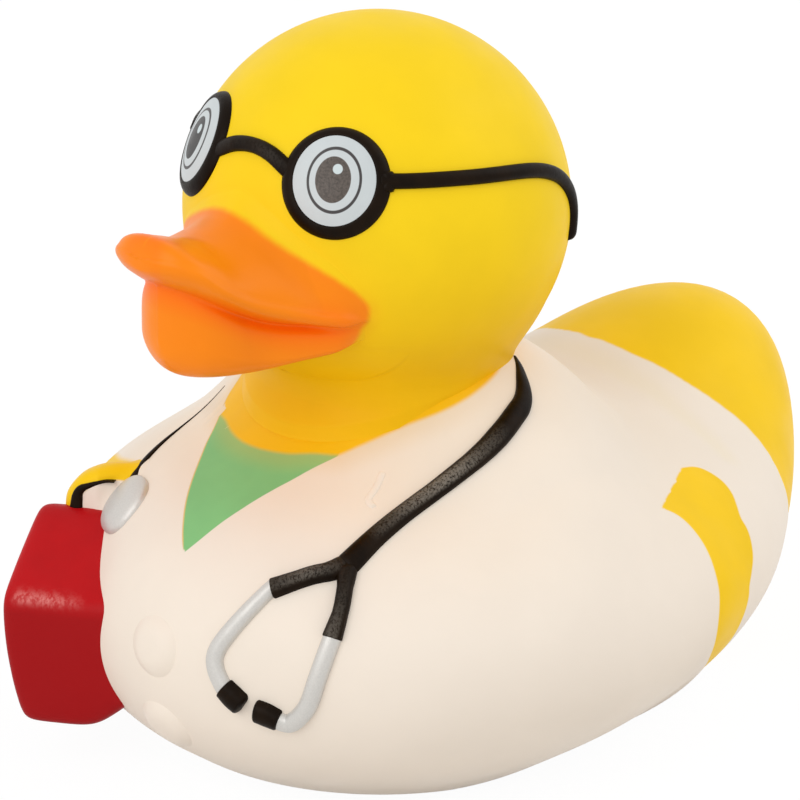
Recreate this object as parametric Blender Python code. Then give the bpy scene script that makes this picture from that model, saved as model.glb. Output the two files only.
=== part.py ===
"""Bath duck in a doctor's coat, moulded in one piece as a hollow shell of soft vinyl.

The duck stands on a flat base in the plane Z = 0, straight below the centre of its head.
It looks along -Y, and its own left is +X. Sizes are in millimetres until a mesh is made.

The body is a soft union of four egg shapes, cut flat by the base. The head is a ball on a
waisted neck. Bill, glasses, stethoscope, buttons, hand and case are relief on that skin.
A second, smaller set of the same forms hollows the shell, and a hole in the base drains it.
"""
import math

import bmesh
import bpy
import numpy as np

MM = 0.001

# Shell
WALL = 2.2
DRAIN_RADIUS = 1.5
DRAIN_SET_BACK = 9.0

# Body: each egg is (centre y, centre z, half width, half length, half height, tilt in degrees)
BODY_CENTRE = (0.0, 8.0, 20.3)
BELLY = (10.9, 16.2, 36.0, 41.9, 17.6, 7.4)
TAIL = (25.1, 8.5, 22.2, 44.0, 21.0, 37.2)
CHEST = (-5.0, 18.4, 35.3, 28.9, 18.3, 0.0)
SHOULDERS = (5.9, 22.2, 29.3, 23.3, 24.6, 0.0)
BODY_BLEND = 12.0
BASE_EDGE = 30.0

# Wings: soft swellings of the flanks, by bearing and height seen from the body's centre
WING_BEARING = 84.0
WING_RISE = 5.0
WING_HALF_LENGTH = 36.0
WING_HALF_HEIGHT = 25.0
WING_SWELL = 1.0

# Head and neck
HEAD_RADIUS = 21.5
HEAD_HEIGHT = 61.6
NECK_RADIUS = 14.2
NECK_SET_BACK = 1.5
NECK_WAIST_DROP = 18.2
NECK_TOP_DROP = 13.8
NECK_FLARE_DROP = 30.2
NECK_ROOT_DROP = 37.3
NECK_FLARE = 0.034

# Bill
BILL_HALF_WIDTH = 14.1
BILL_REACH = 35.7
BILL_TIP_RADIUS = 8.4
BILL_CORNER = 43.0
BILL_TAPER = 0.55
LOWER_REACH = 32.9
LOWER_INSET = 0.6
LOWER_FULLNESS = 0.6
MOUTH_OVERLAP = 0.8

# Heights along the bill: (share of its reach, height from the head's centre)
UPPER_TOP = ((0.25, 7.5), (0.504, 5.4), (0.616, 3.7), (0.756, 2.3), (0.868, 3.2), (0.952, 4.0), (1.0, 1.8))
UPPER_RIM = ((0.25, -6.4), (0.434, -5.9), (0.56, -5.0), (0.672, -3.9), (0.784, -2.3), (0.896, 0.0),
             (1.0, 1.3))
UPPER_BOTTOM = ((0.25, -8.6), (0.434, -8.3), (0.56, -7.6), (0.728, -5.4), (0.868, -2.8), (0.952, -0.8),
                (1.0, 0.9))
LOWER_BOTTOM = ((0.27, -9.6), (0.456, -10.7), (0.608, -11.8), (0.76, -12.9), (0.912, -12.4), (0.979, -10.4),
                (1.0, -8.2))

# Round glasses
LENS_BEARING = 32.0
LENS_RISE = 24.0
LENS_RADIUS = 5.1
LENS_PROUD = 0.9
LENS_EDGE_PROUD = 0.35
RIM_WIDTH = 1.2
RIM_PROUD = 1.0
BRIDGE_RISE = 31.5
BRIDGE_WIDTH = 1.9
TEMPLE_WIDTH = 1.7
TEMPLE_PROUD = 1.0
TEMPLE_PATH = ((72.0, 23.5), (97.0, 21.0), (112.0, 16.5), (122.0, 9.5), (127.5, 1.0), (127.0, -9.5))

# Stethoscope: paths are (bearing, rise) in degrees, seen from the body's centre
TUBE_WIDTH = 2.4
TUBE_PROUD = 1.1
ARM_PROUD = 1.2
FAR_TUBE_WIDTH = 1.7
FAR_TUBE_PROUD = 0.7
CHROME_WIDTH = 2.0
CHROME_PROUD = 1.1
TIP_WIDTH = 2.9
TIP_PROUD = 1.4
NEAR_TUBE = ((98.0, 63.5), (88.0, 57.0), (80.0, 50.0), (72.0, 45.5), (62.0, 39.7),
             (51.0, 33.3), (41.6, 26.7), (35.1, 20.8), (30.0, 14.6))
INNER_ARM = ((30.0, 14.6), (24.6, 13.0), (18.7, 10.3))
OUTER_ARM = ((30.0, 14.6), (31.0, 8.5), (30.2, 4.5))
INNER_CHROME = ((18.7, 10.3), (14.5, 4.4), (12.2, 0.4), (12.3, -2.2), (14.1, -5.2))
OUTER_CHROME = ((30.2, 4.5), (28.6, -1.0), (27.1, -5.5), (24.5, -8.5), (22.2, -8.4))
INNER_TIP = ((13.7, -4.6), (15.5, -6.0), (17.0, -7.0))
OUTER_TIP = ((22.8, -8.4), (20.6, -7.7), (18.7, -7.3))
FAR_TUBE = ((-70.0, 47.0), (-58.0, 40.0), (-48.0, 32.5), (-39.5, 24.8), (-35.0, 20.5), (-30.0, 16.0))
CHESTPIECE_BEARING = -21.7
CHESTPIECE_RISE = 13.2
CHESTPIECE_RADIUS = 3.9
CHESTPIECE_PROUD = 1.7

# Coat buttons on the centre line
BUTTON_RADIUS = 3.3
BUTTON_PROUD = 1.0
BUTTON_RISES = (-1.9, -15.5)

# Doctor's case under the right hand. Its front looks along CASE_BEARING. FRONT, HEEL and BACK
# are distances that way from the axis through the head's centre, SHIFT is the centre's aside.
CASE_BEARING = -60.0
CASE_FRONT = 36.8
CASE_SHIFT = 11.2
CASE_HALF_WIDTH = 12.6
CASE_BOTTOM = 4.9
CASE_SHOULDER = 19.2
CASE_TOP = 26.5
CASE_RIDGE = 0.8
CASE_LEAN = 0.9
CASE_FOOT = 1.7
CASE_TUCK = 0.9
CASE_CORNER = 1.4
CASE_BACK = 18.1
CASE_HEEL = 26.5
HANDLE_SET_IN = 3.6
HANDLE_WIDTH = 5.5
HANDLE_THICKNESS = 1.5
HANDLE_RISE = 3.2
HAND_HALF_SIZES = (5.4, 6.4, 4.8)
HAND_SET_IN = 6.5
HAND_ASIDE = 7.4
HAND_RISE = 3.0

# Cream white of the painted coat, linear red, green, blue and alpha
COAT_COLOUR = (0.90, 0.79, 0.68, 1.0)

# Facets
BODY_RINGS = 28
BODY_SIDES = 42
HEAD_RINGS = 18
HEAD_SIDES = 34
BAND_SINK = 1.4
SHARP_ANGLE = 38.0


def unit(vectors):
    """Vectors at unit length."""
    return vectors / np.linalg.norm(vectors, axis=-1, keepdims=True)


def heading(bearing, rise):
    """Directions from a bearing, 0 ahead and +90 to the duck's left, and a rise above level."""
    turn, lift = np.radians(bearing), np.radians(rise)
    return np.stack([np.sin(turn) * np.cos(lift), -np.cos(turn) * np.cos(lift), np.sin(lift)], -1)


def egg_reach(directions, egg):
    """How far a ray from the body's centre goes to leave one egg, or almost nothing if it misses."""
    centre_y, centre_z, half_width, half_length, half_height, tilt = egg
    c, s = math.cos(math.radians(tilt)), math.sin(math.radians(tilt))
    turn = np.array([[1, 0, 0], [0, c, s], [0, -s, c]])
    sizes = np.array([half_width, half_length, half_height])
    start = turn @ (np.array(BODY_CENTRE) - (0.0, centre_y, centre_z)) / sizes
    run = directions @ turn.T / sizes
    square, slope, rest = (run * run).sum(-1), run @ start, start @ start - 1.0
    hit = slope * slope - square * rest
    return np.where(hit > 0.0, (np.sqrt(np.maximum(hit, 0.0)) - slope) / square, 0.001)


def body_reach(directions):
    """Distance from the body's centre to its skin: a soft maximum of the eggs,
    swelled at the wings, then a soft minimum with the base plane."""
    reaches = [egg_reach(directions, egg) for egg in (BELLY, TAIL, CHEST, SHOULDERS)]
    largest = np.maximum.reduce(reaches)
    reach = largest * sum((r / largest) ** BODY_BLEND for r in reaches) ** (1.0 / BODY_BLEND)
    bearing = np.degrees(np.arctan2(np.abs(directions[..., 0]), -directions[..., 1]))
    rise = np.degrees(np.arcsin(np.clip(directions[..., 2], -1.0, 1.0)))
    away = np.hypot((bearing - WING_BEARING) / WING_HALF_LENGTH, (rise - WING_RISE) / WING_HALF_HEIGHT)
    reach = reach + WING_SWELL * np.clip(1.0 - away ** 4, 0.0, 1.0) ** 2
    down = np.maximum(-directions[..., 2], 1e-4)
    return reach * (1.0 + (reach * down / BODY_CENTRE[2]) ** BASE_EDGE) ** (-1.0 / BASE_EDGE)


def on_body(bearing, rise):
    """Points of the body's skin in the given directions, and the outward normals there."""
    step = 0.5

    def point(turn, lift):
        directions = heading(turn, lift)
        return np.array(BODY_CENTRE) + body_reach(directions)[..., None] * directions

    bearing, rise = np.asarray(bearing, float), np.asarray(rise, float)
    across = point(bearing + step, rise) - point(bearing - step, rise)
    upward = point(bearing, rise + step) - point(bearing, rise - step)
    return point(bearing, rise), unit(np.cross(across, upward))


def on_head(bearing, rise, proud=0.0):
    """Points of the head's ball in the given directions, and the outward normals there."""
    normals = heading(np.asarray(bearing, float), np.asarray(rise, float))
    return np.array([0.0, 0.0, HEAD_HEIGHT]) + (HEAD_RADIUS + proud) * normals, normals


def smooth_path(points, steps):
    """A smooth run through a few points (Catmull-Rom), with this many steps a leg."""
    points = np.array(points, float)
    padded = np.vstack([2 * points[0] - points[1], points, 2 * points[-1] - points[-2]])
    legs = []
    for i in range(len(points) - 1):
        p0, p1, p2, p3 = padded[i:i + 4]
        t = np.linspace(0.0, 1.0, steps, endpoint=False)[:, None]
        legs.append(0.5 * (2 * p1 + (p2 - p0) * t + (2 * p0 - 5 * p1 + 4 * p2 - p3) * t ** 2
                           + (3 * p1 - p0 - 3 * p2 + p3) * t ** 3))
    return np.vstack(legs + [points[-1:]])


def new_object(name, bm):
    """An object from a bmesh in millimetres: in metres, faces outward and shaded smooth."""
    bmesh.ops.recalc_face_normals(bm, faces=bm.faces)
    bmesh.ops.scale(bm, vec=(MM, MM, MM), verts=bm.verts)
    mesh = bpy.data.meshes.new(name)
    bm.to_mesh(mesh)
    bm.free()
    mesh.shade_smooth()
    mesh.set_sharp_from_angle(angle=math.radians(SHARP_ANGLE))
    form = bpy.data.objects.new(name, mesh)
    bpy.context.collection.objects.link(form)
    return form


def loft(name, rings):
    """A closed form through rings of points. A ring of one point closes to a pole."""
    bm = bmesh.new()
    rows = [[bm.verts.new(p) for p in ring] for ring in rings]
    for low, high in zip(rows, rows[1:]):
        sides = max(len(low), len(high))
        for i in range(sides):
            j = (i + 1) % sides
            if len(low) == 1:
                bm.faces.new((low[0], high[j], high[i]))
            elif len(high) == 1:
                bm.faces.new((low[i], low[j], high[0]))
            else:
                bm.faces.new((low[i], low[j], high[j], high[i]))
    for row in (rows[0], rows[-1]):
        if len(row) > 1:
            bm.faces.new(row)
    return new_object(name, bm)


def revolve(name, profile, sides, centre, axis):
    """A form turned about an axis through a centre. The profile is (radius, distance along)."""
    axis = unit(np.array(axis, float))
    side = unit(np.cross(axis, (0.0, 0.2, 1.0)))
    other = np.cross(axis, side)
    turn = np.linspace(0.0, 2 * math.pi, sides, endpoint=False)[:, None]
    circle = np.cos(turn) * side + np.sin(turn) * other
    rings = []
    for radius, along in profile:
        middle = np.array(centre, float) + along * axis
        rings.append([middle] if radius < 1e-6 else middle + radius * circle)
    return loft(name, rings)


def band(name, points, normals, widths, proud, sink=BAND_SINK):
    """A half-round strip laid along a path on a skin, sunk a little into it."""
    points, normals = np.asarray(points), np.asarray(normals)
    widths = np.broadcast_to(widths, len(points))[:, None]
    ahead = unit(np.gradient(points, axis=0))
    across = unit(np.cross(ahead, normals))
    rings = []
    for share, lift in ((-0.5, -sink), (-0.5, 0.3 * proud), (-0.3, 0.86 * proud), (0.0, proud),
                        (0.3, 0.86 * proud), (0.5, 0.3 * proud), (0.5, -sink)):
        rings.append(points + share * widths * across + lift * normals)
    return loft(name, np.stack(rings, 1))


def body_form(name, inset, rings, sides):
    """The body as a loft of rings from the chest to the tail, or its hollow when inset."""
    around = np.linspace(0.0, 2 * math.pi, sides, endpoint=False)
    sections = []
    for polar in np.linspace(0.0, math.pi, rings + 1):
        count = around if 0.0 < polar < math.pi - 1e-9 else around[:1]
        directions = np.stack([math.sin(polar) * np.cos(count), -math.cos(polar) * np.ones_like(count),
                               math.sin(polar) * np.sin(count)], -1)
        reach = body_reach(directions) - inset
        sections.append(np.array(BODY_CENTRE) + reach[:, None] * directions)
    return loft(name, sections)


def head_form(name, inset, rings, sides):
    """The head's ball, or its hollow when inset."""
    radius = HEAD_RADIUS - inset
    profile = [(radius * math.sin(a), -radius * math.cos(a)) for a in np.linspace(0.0, math.pi, rings + 1)]
    return revolve(name, profile, sides, (0.0, 0.0, HEAD_HEIGHT), (0.0, 0.0, 1.0))


def neck_form(name, inset, sides):
    """The waisted neck, from inside the head to inside the body. It flares both ways."""
    drops = np.linspace(NECK_TOP_DROP, NECK_FLARE_DROP, 8)
    radii = NECK_RADIUS + NECK_FLARE * (drops - NECK_WAIST_DROP) ** 2 - inset
    profile = [(0.0, -NECK_TOP_DROP)] + list(zip(radii, -drops))
    profile += [(NECK_RADIUS - inset, -NECK_ROOT_DROP), (0.0, -NECK_ROOT_DROP)]
    return revolve(name, profile, sides, (0.0, NECK_SET_BACK, HEAD_HEIGHT), (0.0, 0.0, 1.0))


def bill_section(y, half_width, top, rim, bottom, peak, sides):
    """One cross-section of the bill, widest at the rim. A low peak makes a ridged top."""
    turn = np.linspace(0.0, 2 * math.pi, sides, endpoint=False)
    c, s = np.cos(turn), np.sin(turn)
    power = np.where(s > 0, 2.0 / peak, 1.0)
    x = half_width * np.sign(c) * np.abs(c) ** power
    height = np.abs(s) ** power
    z = np.where(s > 0, rim + (top - rim) * height, rim - (rim - bottom) * height)
    return np.stack([x, np.full_like(x, y), HEAD_HEIGHT + z], -1)


def bill_half_width(forward, reach):
    """Half width in plan, by distance forward: a wide root that narrows to a round tip."""
    corner = HEAD_RADIUS * math.cos(math.radians(BILL_CORNER))
    tip_centre = reach - BILL_TIP_RADIUS
    if forward < corner:
        return BILL_HALF_WIDTH
    if forward > tip_centre:
        return math.sqrt(max(BILL_TIP_RADIUS ** 2 - (forward - tip_centre) ** 2, 0.0))
    share = (forward - corner) / (tip_centre - corner)
    ease = share * share * (3.0 - 2.0 * share)
    return BILL_HALF_WIDTH + (BILL_TIP_RADIUS - BILL_HALF_WIDTH) * (ease + BILL_TAPER * (share - ease))


def height_at(share, knots):
    """A smooth height at a share of the bill's reach, through a few knots."""
    fine = smooth_path(knots, 12)
    return float(np.interp(share, fine[:, 0], fine[:, 1]))


def bill_shares(count):
    """Shares of the reach for a bill's sections, from inside the head, closer near the tip."""
    start = UPPER_TOP[0][0]
    return start + (1.0 - start) * np.sin(np.linspace(0.0, math.pi / 2, count))


def upper_bill():
    """Upper bill: ridged at the root, dished, with a thick lip turned up at the tip."""
    sections = []
    for share in bill_shares(15):
        forward = BILL_REACH * share
        top, rim, bottom = (height_at(share, knots) for knots in (UPPER_TOP, UPPER_RIM, UPPER_BOTTOM))
        if share > 1.0 - 1e-6:
            sections.append([(0.0, -forward, HEAD_HEIGHT + rim)])
            continue
        peak = float(np.interp(share, (0.56, 0.84), (1.35, 2.2)))
        half_width = bill_half_width(forward, BILL_REACH)
        sections.append(bill_section(-forward, half_width, top, rim, bottom, peak, 20))
    return loft("upper_bill", sections)


def lower_bill():
    """Lower bill: a full scoop that closes on the upper bill along the mouth."""
    sections = []
    for share in bill_shares(11):
        forward = LOWER_REACH * share
        bottom = height_at(share, LOWER_BOTTOM)
        mouth = height_at(forward / BILL_REACH, UPPER_BOTTOM) + MOUTH_OVERLAP
        if share > 1.0 - 1e-6:
            sections.append([(0.0, -forward, HEAD_HEIGHT + bottom)])
            continue
        half_width = max(bill_half_width(forward, LOWER_REACH) - LOWER_INSET, LOWER_INSET)
        rim = mouth - LOWER_FULLNESS * (mouth - bottom)
        sections.append(bill_section(-forward, half_width, mouth, rim, bottom, 2.0, 18))
    return loft("lower_bill", sections)


def lens_form(name, side):
    """A round lens, slightly domed, in its raised rim."""
    def ball(radius):
        return math.sqrt(HEAD_RADIUS ** 2 - radius ** 2)

    outer = LENS_RADIUS + RIM_WIDTH
    crest = LENS_RADIUS + 0.45 * RIM_WIDTH
    under = ball(outer) - BAND_SINK
    dome = HEAD_RADIUS + LENS_PROUD
    edge = ball(LENS_RADIUS) + LENS_EDGE_PROUD
    profile = [(0.0, dome), (0.55 * LENS_RADIUS, dome - 0.3 * (dome - edge)), (LENS_RADIUS, edge),
               (LENS_RADIUS + 0.1, ball(LENS_RADIUS) + 0.8 * RIM_PROUD),
               (crest, ball(crest) + RIM_PROUD), (outer - 0.15, ball(outer) + 0.7 * RIM_PROUD),
               (outer, ball(outer) + 0.2), (outer, under), (0.0, under)]
    axis = heading(side * LENS_BEARING, LENS_RISE)
    return revolve(name, profile, 32, (0.0, 0.0, HEAD_HEIGHT), axis)


def bridge_form():
    """The arched bridge between the rims."""
    half_span = math.degrees((LENS_RADIUS + 0.7 * RIM_WIDTH) / HEAD_RADIUS)
    inner = LENS_BEARING - half_span / math.cos(math.radians(LENS_RISE))
    low, flank = LENS_RISE + 0.2 * (BRIDGE_RISE - LENS_RISE), LENS_RISE + 0.8 * (BRIDGE_RISE - LENS_RISE)
    path = smooth_path(((-inner, low), (-0.5 * inner, flank), (0.0, BRIDGE_RISE),
                        (0.5 * inner, flank), (inner, low)), 3)
    points, normals = on_head(path[:, 0], path[:, 1])
    return band("glasses_bridge", points, normals, BRIDGE_WIDTH, RIM_PROUD)


def temple_form(name, side):
    """One temple arm, from the rim round the head, hooked down at its end."""
    start = LENS_BEARING + math.degrees(LENS_RADIUS / HEAD_RADIUS)
    path = smooth_path(((start, LENS_RISE + 0.5),) + TEMPLE_PATH, 3)
    points, normals = on_head(side * path[:, 0], path[:, 1])
    return band(name, points, normals, TEMPLE_WIDTH, TEMPLE_PROUD)


def body_band(name, path, width, proud, steps=3, taper=0):
    """A strip along a path over the body's skin, thinned towards its start when tapered."""
    angles = smooth_path(path, steps)
    points, normals = on_body(angles[:, 0], angles[:, 1])
    widths = np.full(len(points), width)
    if taper:
        widths[:taper] *= np.linspace(0.35, 1.0, taper)
    return band(name, points, normals, widths, proud)


def dome_form(name, bearing, rise, radius, proud):
    """A round dome standing on the body's skin."""
    point, normal = on_body(bearing, rise)
    profile = [(0.0, proud), (0.55 * radius, 0.93 * proud), (0.82 * radius, 0.62 * proud),
               (radius, 0.0), (radius, -BAND_SINK), (0.0, -BAND_SINK)]
    return revolve(name, profile, 22, point, normal)


def case_axes():
    """The case's own axes: out of its front, along its width, and up."""
    out = heading(CASE_BEARING, 0.0)
    return out, np.array([-out[1], out[0], 0.0]), np.array([0.0, 0.0, 1.0])


def case_form(name, inset):
    """The doctor's case, lofted upward: a heel that rises to the body, straight sides to the
    shoulder, then a full rounded top that closes on the ridge."""
    out, along, up = case_axes()
    lip = CASE_CORNER * 0.5
    foot_width, foot = CASE_HALF_WIDTH - CASE_TUCK, CASE_FRONT - CASE_FOOT
    # Each level is (height, half width, front, back)
    levels = [(CASE_BOTTOM, foot_width - lip, foot - lip, CASE_HEEL),
              (CASE_BOTTOM + lip, foot_width, foot, CASE_HEEL - lip),
              (CASE_BOTTOM + 5 * lip, foot_width, foot + 0.4 * lip, CASE_HEEL - 5 * lip),
              (CASE_BOTTOM + 7 * lip, foot_width, foot + 0.7 * lip, CASE_BACK),
              (CASE_SHOULDER, CASE_HALF_WIDTH, CASE_FRONT, CASE_BACK)]
    for share in (0.08, 0.35, 0.65, 0.9, 1.0):
        arch = 1.0 - share ** 1.3
        levels.append((CASE_SHOULDER + (CASE_TOP - CASE_SHOULDER) * share,
                       CASE_RIDGE + (CASE_HALF_WIDTH - CASE_RIDGE) * arch,
                       CASE_FRONT - CASE_LEAN * share ** 6, CASE_BACK))
    if inset:
        levels = [levels[3], levels[4], levels[7]]
    sections = []
    for height, half_width, front, back in levels:
        height = min(max(height, CASE_BOTTOM + inset), CASE_TOP - inset)
        half_width, front, r = half_width - inset, front - inset, CASE_CORNER
        corner = [(0.0, 1.0), (0.5, 0.87), (0.87, 0.5), (1.0, 0.0)]
        ring = [(front - r + r * c, half_width - r + r * s) for s, c in corner]
        ring += [(back, half_width), (back, -half_width)]
        ring += [(front - r + r * c, -(half_width - r + r * s)) for s, c in reversed(corner)]
        sections.append([o * out + (CASE_SHIFT + a) * along + height * up for o, a in ring])
    return loft(name, sections)


def handle_form():
    """The case's strap handle, rising from the ridge and folding back into the hand."""
    out, along, up = case_axes()
    front, crown = CASE_FRONT - HANDLE_SET_IN, CASE_TOP + HANDLE_RISE
    shares = np.array([(0.0, -2.0), (-0.2, -0.45), (-1.0, 0.0), (-2.2, 0.1)])
    path = smooth_path((front, crown) + HANDLE_RISE * shares, 4)
    points = path[:, :1] * out + CASE_SHIFT * along + path[:, 1:] * up
    ahead = unit(np.gradient(points, axis=0))
    normals = np.cross(ahead, along)
    return band("case_handle", points, normals * np.sign((normals @ (out + up))[:, None]), HANDLE_WIDTH,
                0.0, HANDLE_THICKNESS)


def hand_form():
    """The mitten hand behind the handle: an egg on the body's skin."""
    out, along, up = case_axes()
    centre = ((CASE_FRONT - HAND_SET_IN) * out + (CASE_SHIFT - HAND_ASIDE) * along
              + (CASE_TOP + HAND_RISE - HAND_HALF_SIZES[2]) * up)
    rings = []
    for polar in np.linspace(0.0, math.pi, 10):
        count = np.linspace(0.0, 2 * math.pi, 16, endpoint=False) if 0.0 < polar < math.pi - 1e-9 else [0.0]
        rings.append([centre + HAND_HALF_SIZES[0] * math.sin(polar) * math.cos(a) * out
                      + HAND_HALF_SIZES[1] * math.sin(polar) * math.sin(a) * along
                      - HAND_HALF_SIZES[2] * math.cos(polar) * up for a in count])
    return loft("hand", rings)


def drain_form():
    """The round hole through the base."""
    profile = [(0.0, -WALL), (DRAIN_RADIUS, -WALL), (DRAIN_RADIUS, 2.5 * WALL), (0.0, 2.5 * WALL)]
    return revolve("drain", profile, 16, (0.0, DRAIN_SET_BACK, 0.0), (0.0, 0.0, 1.0))


def boolean(target, form, operation):
    """Join a form to a body or cut it away, keeping the form as a hidden guide."""
    modifier = target.modifiers.new(form.name, "BOOLEAN")
    modifier.operation = operation
    modifier.solver = "EXACT"
    modifier.object = form
    form.hide_render = True
    form.display_type = "WIRE"
    form.hide_set(True)


def vinyl():
    """Soft vinyl in the coat's cream white, the colour that covers most of the duck."""
    material = bpy.data.materials.new("painted_vinyl")
    material.use_nodes = True
    shader = material.node_tree.nodes["Principled BSDF"]
    shader.inputs["Base Color"].default_value = COAT_COLOUR
    shader.inputs["Roughness"].default_value = 0.42
    shader.inputs["Metallic"].default_value = 0.0
    return material


def build():
    for old in list(bpy.data.objects):
        bpy.data.objects.remove(old, do_unlink=True)

    duck = body_form("duck", 0.0, BODY_RINGS, BODY_SIDES)
    raised = [neck_form("neck", 0.0, HEAD_SIDES), head_form("head", 0.0, HEAD_RINGS, HEAD_SIDES),
              upper_bill(), lower_bill(), bridge_form()]
    for side, word in ((1, "left"), (-1, "right")):
        raised += [lens_form(word + "_lens", side), temple_form(word + "_temple", side)]
    raised += [body_band("near_tube", NEAR_TUBE, TUBE_WIDTH, TUBE_PROUD, taper=5),
               body_band("inner_arm", INNER_ARM, TUBE_WIDTH, ARM_PROUD),
               body_band("outer_arm", OUTER_ARM, TUBE_WIDTH, ARM_PROUD),
               body_band("inner_chrome", INNER_CHROME, CHROME_WIDTH, CHROME_PROUD),
               body_band("outer_chrome", OUTER_CHROME, CHROME_WIDTH, CHROME_PROUD),
               body_band("inner_tip", INNER_TIP, TIP_WIDTH, TIP_PROUD, steps=2),
               body_band("outer_tip", OUTER_TIP, TIP_WIDTH, TIP_PROUD, steps=2),
               body_band("far_tube", FAR_TUBE, FAR_TUBE_WIDTH, FAR_TUBE_PROUD, taper=5),
               dome_form("chestpiece", CHESTPIECE_BEARING, CHESTPIECE_RISE, CHESTPIECE_RADIUS,
                         CHESTPIECE_PROUD)]
    for number, rise in enumerate(BUTTON_RISES, 1):
        raised.append(dome_form(f"button_{number}", 0.0, rise, BUTTON_RADIUS, BUTTON_PROUD))
    raised += [hand_form(), case_form("case", 0.0), handle_form()]
    for form in raised:
        boolean(duck, form, "UNION")

    hollow = body_form("hollow", WALL, 18, 26)
    for form in (neck_form("neck_hollow", WALL, 20), head_form("head_hollow", WALL, 10, 20),
                 case_form("case_hollow", WALL)):
        boolean(hollow, form, "UNION")
    boolean(duck, hollow, "DIFFERENCE")
    boolean(duck, drain_form(), "DIFFERENCE")

    duck.data.materials.append(vinyl())


build()
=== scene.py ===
"""Looks of a bath duck in a doctor's coat: a hollow vinyl moulding, painted by mask and brush.

The duck stands on Z = 0, straight below the centre of its head, and looks along -Y. Its own
left is +X. Sizes are in millimetres until a mesh is made.
"""
import math

import bpy
import numpy as np
from mathutils import Matrix


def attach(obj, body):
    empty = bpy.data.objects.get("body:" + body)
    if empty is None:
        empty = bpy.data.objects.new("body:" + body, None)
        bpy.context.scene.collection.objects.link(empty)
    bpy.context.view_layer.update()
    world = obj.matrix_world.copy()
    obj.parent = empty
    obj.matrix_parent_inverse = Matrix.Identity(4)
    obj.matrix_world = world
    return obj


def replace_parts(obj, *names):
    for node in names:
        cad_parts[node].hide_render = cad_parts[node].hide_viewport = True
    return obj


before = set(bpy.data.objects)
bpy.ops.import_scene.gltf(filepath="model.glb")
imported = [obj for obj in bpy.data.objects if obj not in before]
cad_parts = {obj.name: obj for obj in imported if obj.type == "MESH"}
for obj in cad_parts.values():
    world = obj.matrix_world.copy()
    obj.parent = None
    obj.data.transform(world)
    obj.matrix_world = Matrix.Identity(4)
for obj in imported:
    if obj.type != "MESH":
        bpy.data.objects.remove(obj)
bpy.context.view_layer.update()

MM = 0.001

# Body: each egg is (centre y, centre z, half width, half length, half height, tilt in degrees)
BODY_CENTRE = np.array((0.0, 8.0, 20.3))
BELLY = (10.9, 16.2, 36.0, 41.9, 17.6, 7.4)
TAIL = (25.1, 8.5, 22.2, 44.0, 21.0, 37.2)
CHEST = (-5.0, 18.4, 35.3, 28.9, 18.3, 0.0)
SHOULDERS = (5.9, 22.2, 29.3, 23.3, 24.6, 0.0)
BODY_BLEND = 12.0
BASE_EDGE = 30.0
WING_BEARING, WING_RISE, WING_HALF_LENGTH, WING_HALF_HEIGHT, WING_SWELL = 84.0, 5.0, 36.0, 25.0, 1.0
DENT_BEARING, DENT_RISE, DENT_LENGTH, DENT_HEIGHT, DENT_DEPTH = -27.0, 6.0, 9.0, 6.5, 1.5
DRAIN_RADIUS, DRAIN_SET_BACK = 1.5, 9.0

# Head and neck
HEAD_RADIUS = 21.5
HEAD_CENTRE = np.array((0.0, 0.0, 61.6))
NECK_RADIUS, NECK_SET_BACK, NECK_FLARE = 14.2, 1.5, 0.034
NECK_FADE, NECK_WAIST_DROP, NECK_ROOT_DROP, NECK_FILLET = 0.02, 18.2, 34.0, 6.5

# Bill: heights are (share of its reach, height from the head's centre)
BILL_HALF_WIDTH, BILL_TIP_RADIUS, BILL_CORNER, BILL_TAPER = 14.1, 8.4, 43.0, 0.55
UPPER_REACH, LOWER_REACH, LOWER_INSET, LOWER_FULLNESS, MOUTH_OVERLAP = 35.7, 32.9, 0.6, 0.6, 0.8
BEAD_RADIUS = 0.55
UPPER_TOP = ((0.25, 7.5), (0.504, 5.4), (0.616, 3.7), (0.756, 2.3), (0.868, 3.2), (0.952, 4.0), (1.0, 1.8))
UPPER_RIM = ((0.25, -6.6), (0.434, -6.6), (0.546, -6.0), (0.648, -4.9), (0.756, -3.5), (0.854, -1.4),
             (0.91, 0.3), (0.96, 1.3), (1.0, 1.5))
UPPER_BOTTOM = ((0.25, -7.6), (0.45, -7.2), (0.524, -7.2), (0.614, -7.0), (0.665, -6.6), (0.707, -6.0),
                (0.782, -4.6), (0.876, -2.4), (0.942, -1.0), (0.979, 0.0), (1.0, 0.8))
LOWER_BOTTOM = ((0.27, -9.6), (0.456, -10.7), (0.608, -11.8), (0.76, -12.9), (0.912, -12.4),
                (0.979, -10.4), (1.0, -8.2))
BILL_PAINT = ((0.0, -22.0, 4.15), (2.2, -22.1, 3.7), (4.7, -21.9, 2.7), (6.9, -21.2, 1.5), (8.9, -20.3, 0.4),
              (10.7, -19.2, -0.7), (12.3, -17.9, -1.8), (13.6, -16.9, -3.1), (14.5, -16.1, -4.4),
              (14.8, -15.8, -5.4), (14.5, -15.8, -6.8), (13.9, -16.1, -7.8), (12.6, -15.9, -9.0),
              (9.4, -16.4, -10.5), (5.0, -17.5, -11.6), (0.0, -18.2, -11.9), (-5.0, -17.5, -11.6),
              (-9.4, -16.4, -10.5), (-12.6, -15.9, -9.0), (-13.9, -16.1, -7.8), (-14.5, -15.8, -6.8),
              (-14.8, -15.8, -5.4), (-14.5, -16.1, -4.2), (-13.2, -16.9, -2.4), (-11.2, -18.4, -0.4),
              (-8.5, -20.0, 1.4), (-5.1, -21.1, 3.1), (-2.4, -21.7, 3.9))

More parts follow.
